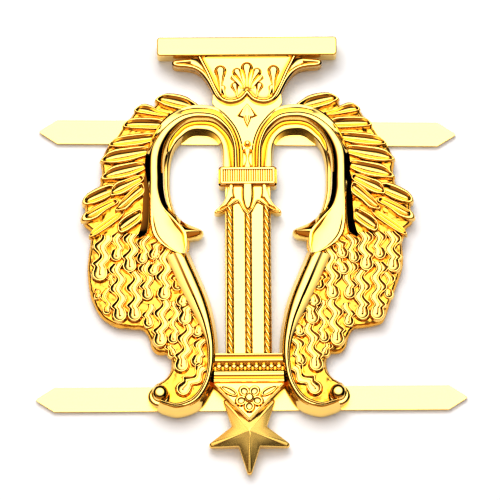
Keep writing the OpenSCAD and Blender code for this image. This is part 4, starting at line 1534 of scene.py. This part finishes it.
@dataclass
class Studio:
    """Pale floor, soft light and the camera at the photograph's angle."""

    elevation: float = 77.0
    roll: float = 0.4
    distance: float = 0.9
    view_mm: float = 80.0
    aim_mm: tuple[float, float, float] = (0.3, 1.35, 0.0)
    ceiling_lean: float = 17.0
    # Cosines of the angles from the ceiling's middle where it goes dark and would be at its brightest
    ceiling_edges: Place = (0.6, 1.02)
    ceiling_light: float = 2.35
    table_light: float = 0.2
    floor_reach: float = 2.0
    lamp_place: Point = (-0.1, 0.45, 0.75)
    lamp_size: Place = (0.5, 0.35)
    lamp_power: float = 2.4
    gamma: float = 0.62

    # Glows of the dark room: the axis, where it starts and is full, its strength, then the heights
    # where it fades in
    GLOWS = (("X", -0.45, -0.7, 0.55, 0.42, 0.58), ("Y", -0.45, -0.75, 0.7, 0.8, 0.55))

    def camera(self) -> None:
        """Sets up a long lens above the jewel, towards its lower end."""
        data = bpy.data.cameras.new("camera")
        data.sensor_width = 36.0
        data.lens = data.sensor_width * self.distance / (self.view_mm * MM)
        data.clip_start = 0.01
        camera = add_object("camera", data)
        tilt = math.radians(self.elevation)
        aim = Vector(self.aim_mm) * MM
        away = Vector((0, -math.cos(tilt), math.sin(tilt)))
        turn = Matrix.Rotation(math.radians(90 - self.elevation), 4, "X")
        roll = Matrix.Rotation(math.radians(-self.roll), 4, "Z")
        camera.matrix_world = Matrix.Translation(aim + away * self.distance) @ turn @ roll
        bpy.context.scene.camera = camera

    def floor(self) -> None:
        """Adds a white sheet on a light table under the strips."""
        mesh = bpy.data.meshes.new("floor")
        reach = self.floor_reach
        corners = [(-reach, -reach, 0), (reach, -reach, 0), (reach, reach, 0), (-reach, reach, 0)]
        mesh.from_pydata(corners, [], [(0, 1, 2, 3)])
        floor = add_object("floor", mesh)
        paper = bpy.data.materials.new("white_paper")
        tree = empty_tree(paper)
        sheet = add_node(tree, "ShaderNodeBsdfDiffuse", Color=linear("#e6e8ec"))
        below = add_node(tree, "ShaderNodeEmission", Color=(1, 1, 1, 1), Strength=self.table_light)
        both = add_node(tree, "ShaderNodeAddShader", i0=sheet.outputs["BSDF"], i1=below.outputs["Emission"])
        add_node(tree, "ShaderNodeOutputMaterial", Surface=both.outputs["Shader"])
        mesh.materials.append(paper)

    def world(self) -> None:
        """Lights the scene from a bright ceiling; the dark room glows brown on the left and in front."""
        world = bpy.data.worlds.new("studio")
        bpy.context.scene.world = world
        tree = empty_tree(world)
        way = add_node(tree, "ShaderNodeTexCoord").outputs["Generated"]
        parts = add_node(tree, "ShaderNodeSeparateXYZ", Vector=way)
        lean = math.radians(self.ceiling_lean)
        up = (0, math.sin(lean), math.cos(lean))
        toward = add_node(tree, "ShaderNodeVectorMath", {"operation": "DOT_PRODUCT"}, i0=way, i1=up)
        soft = {"interpolation_type": "SMOOTHSTEP"}
        dark, bright = self.ceiling_edges
        ceiling = add_node(
            tree, "ShaderNodeMapRange", soft, Value=toward.outputs["Value"],
            From_Min=dark, From_Max=bright, To_Min=0.0, To_Max=self.ceiling_light,
        )
        glows = []
        for axis, start, full, strength, fade_start, fade_end in self.GLOWS:
            glow = add_node(
                tree, "ShaderNodeMapRange", soft, Value=parts.outputs[axis],
                From_Min=start, From_Max=full, To_Min=0.0, To_Max=strength,
            )
            fade = add_node(
                tree, "ShaderNodeMapRange", soft, Value=parts.outputs["Z"],
                From_Min=fade_start, From_Max=fade_end, To_Min=0.0, To_Max=1.0,
            )
            faded = add_node(
                tree, "ShaderNodeMath", {"operation": "MULTIPLY"},
                i0=glow.outputs["Result"], i1=fade.outputs["Result"],
            )
            glows.append(faded.outputs["Value"])
        warmth = add_node(tree, "ShaderNodeMath", {"operation": "ADD"}, i0=glows[0], i1=glows[1])
        white, brown = ("#ffffff", ceiling.outputs["Result"]), ("#f2c183", warmth.outputs["Value"])
        lights = []
        for colour, strength in (white, brown):
            light = add_node(tree, "ShaderNodeBackground", Color=linear(colour), Strength=strength)
            lights.append(light.outputs["Background"])
        both = add_node(tree, "ShaderNodeAddShader", i0=lights[0], i1=lights[1])
        add_node(tree, "ShaderNodeOutputWorld", Surface=both.outputs["Shader"])

    def lamps(self) -> None:
        """Adds a soft lamp beyond the jewel's upper end, which throws the shadow towards the lower end."""
        data = bpy.data.lights.new("soft_key", "AREA")
        data.shape = "RECTANGLE"
        data.size, data.size_y = self.lamp_size
        data.energy = self.lamp_power
        lamp = add_object("soft_key", data)
        lamp.visible_glossy = False
        place = Vector(self.lamp_place)
        lamp.matrix_world = Matrix.Translation(place) @ place.to_track_quat("Z", "Y").to_matrix().to_4x4()

    def build(self) -> None:
        """Sets up the whole studio."""
        view = bpy.context.scene.view_settings
        view.view_transform = "Standard"
        view.gamma = self.gamma
        self.camera()
        self.floor()
        self.world()
        self.lamps()


def dress_strips() -> None:
    """Gives the two strips of the frame their plated finish."""
    for name in STRIPS:
        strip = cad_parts[name]
        strip.data.materials.clear()
        strip.data.materials.append(Gilding.STRIP.value.material())
        LOG.info("%s: dressed", name)


def main() -> None:
    """Builds the studio, the jewel's forms and the strips."""
    logging.basicConfig(level=logging.INFO, format="%(message)s")
    relief = Relief.from_frame()
    Studio().build()
    for form in (TopBar, Capital, Shield):
        form(relief).build()
    for side in (1, -1):
        for form in (Neck, Wing, Arm):
            form(relief, side).build()
    for form in (Column, Band, Lily, Base, Cartouche, Star, Studs):
        form(relief).build()
    dress_strips()


if __name__ == "__main__":
    main()
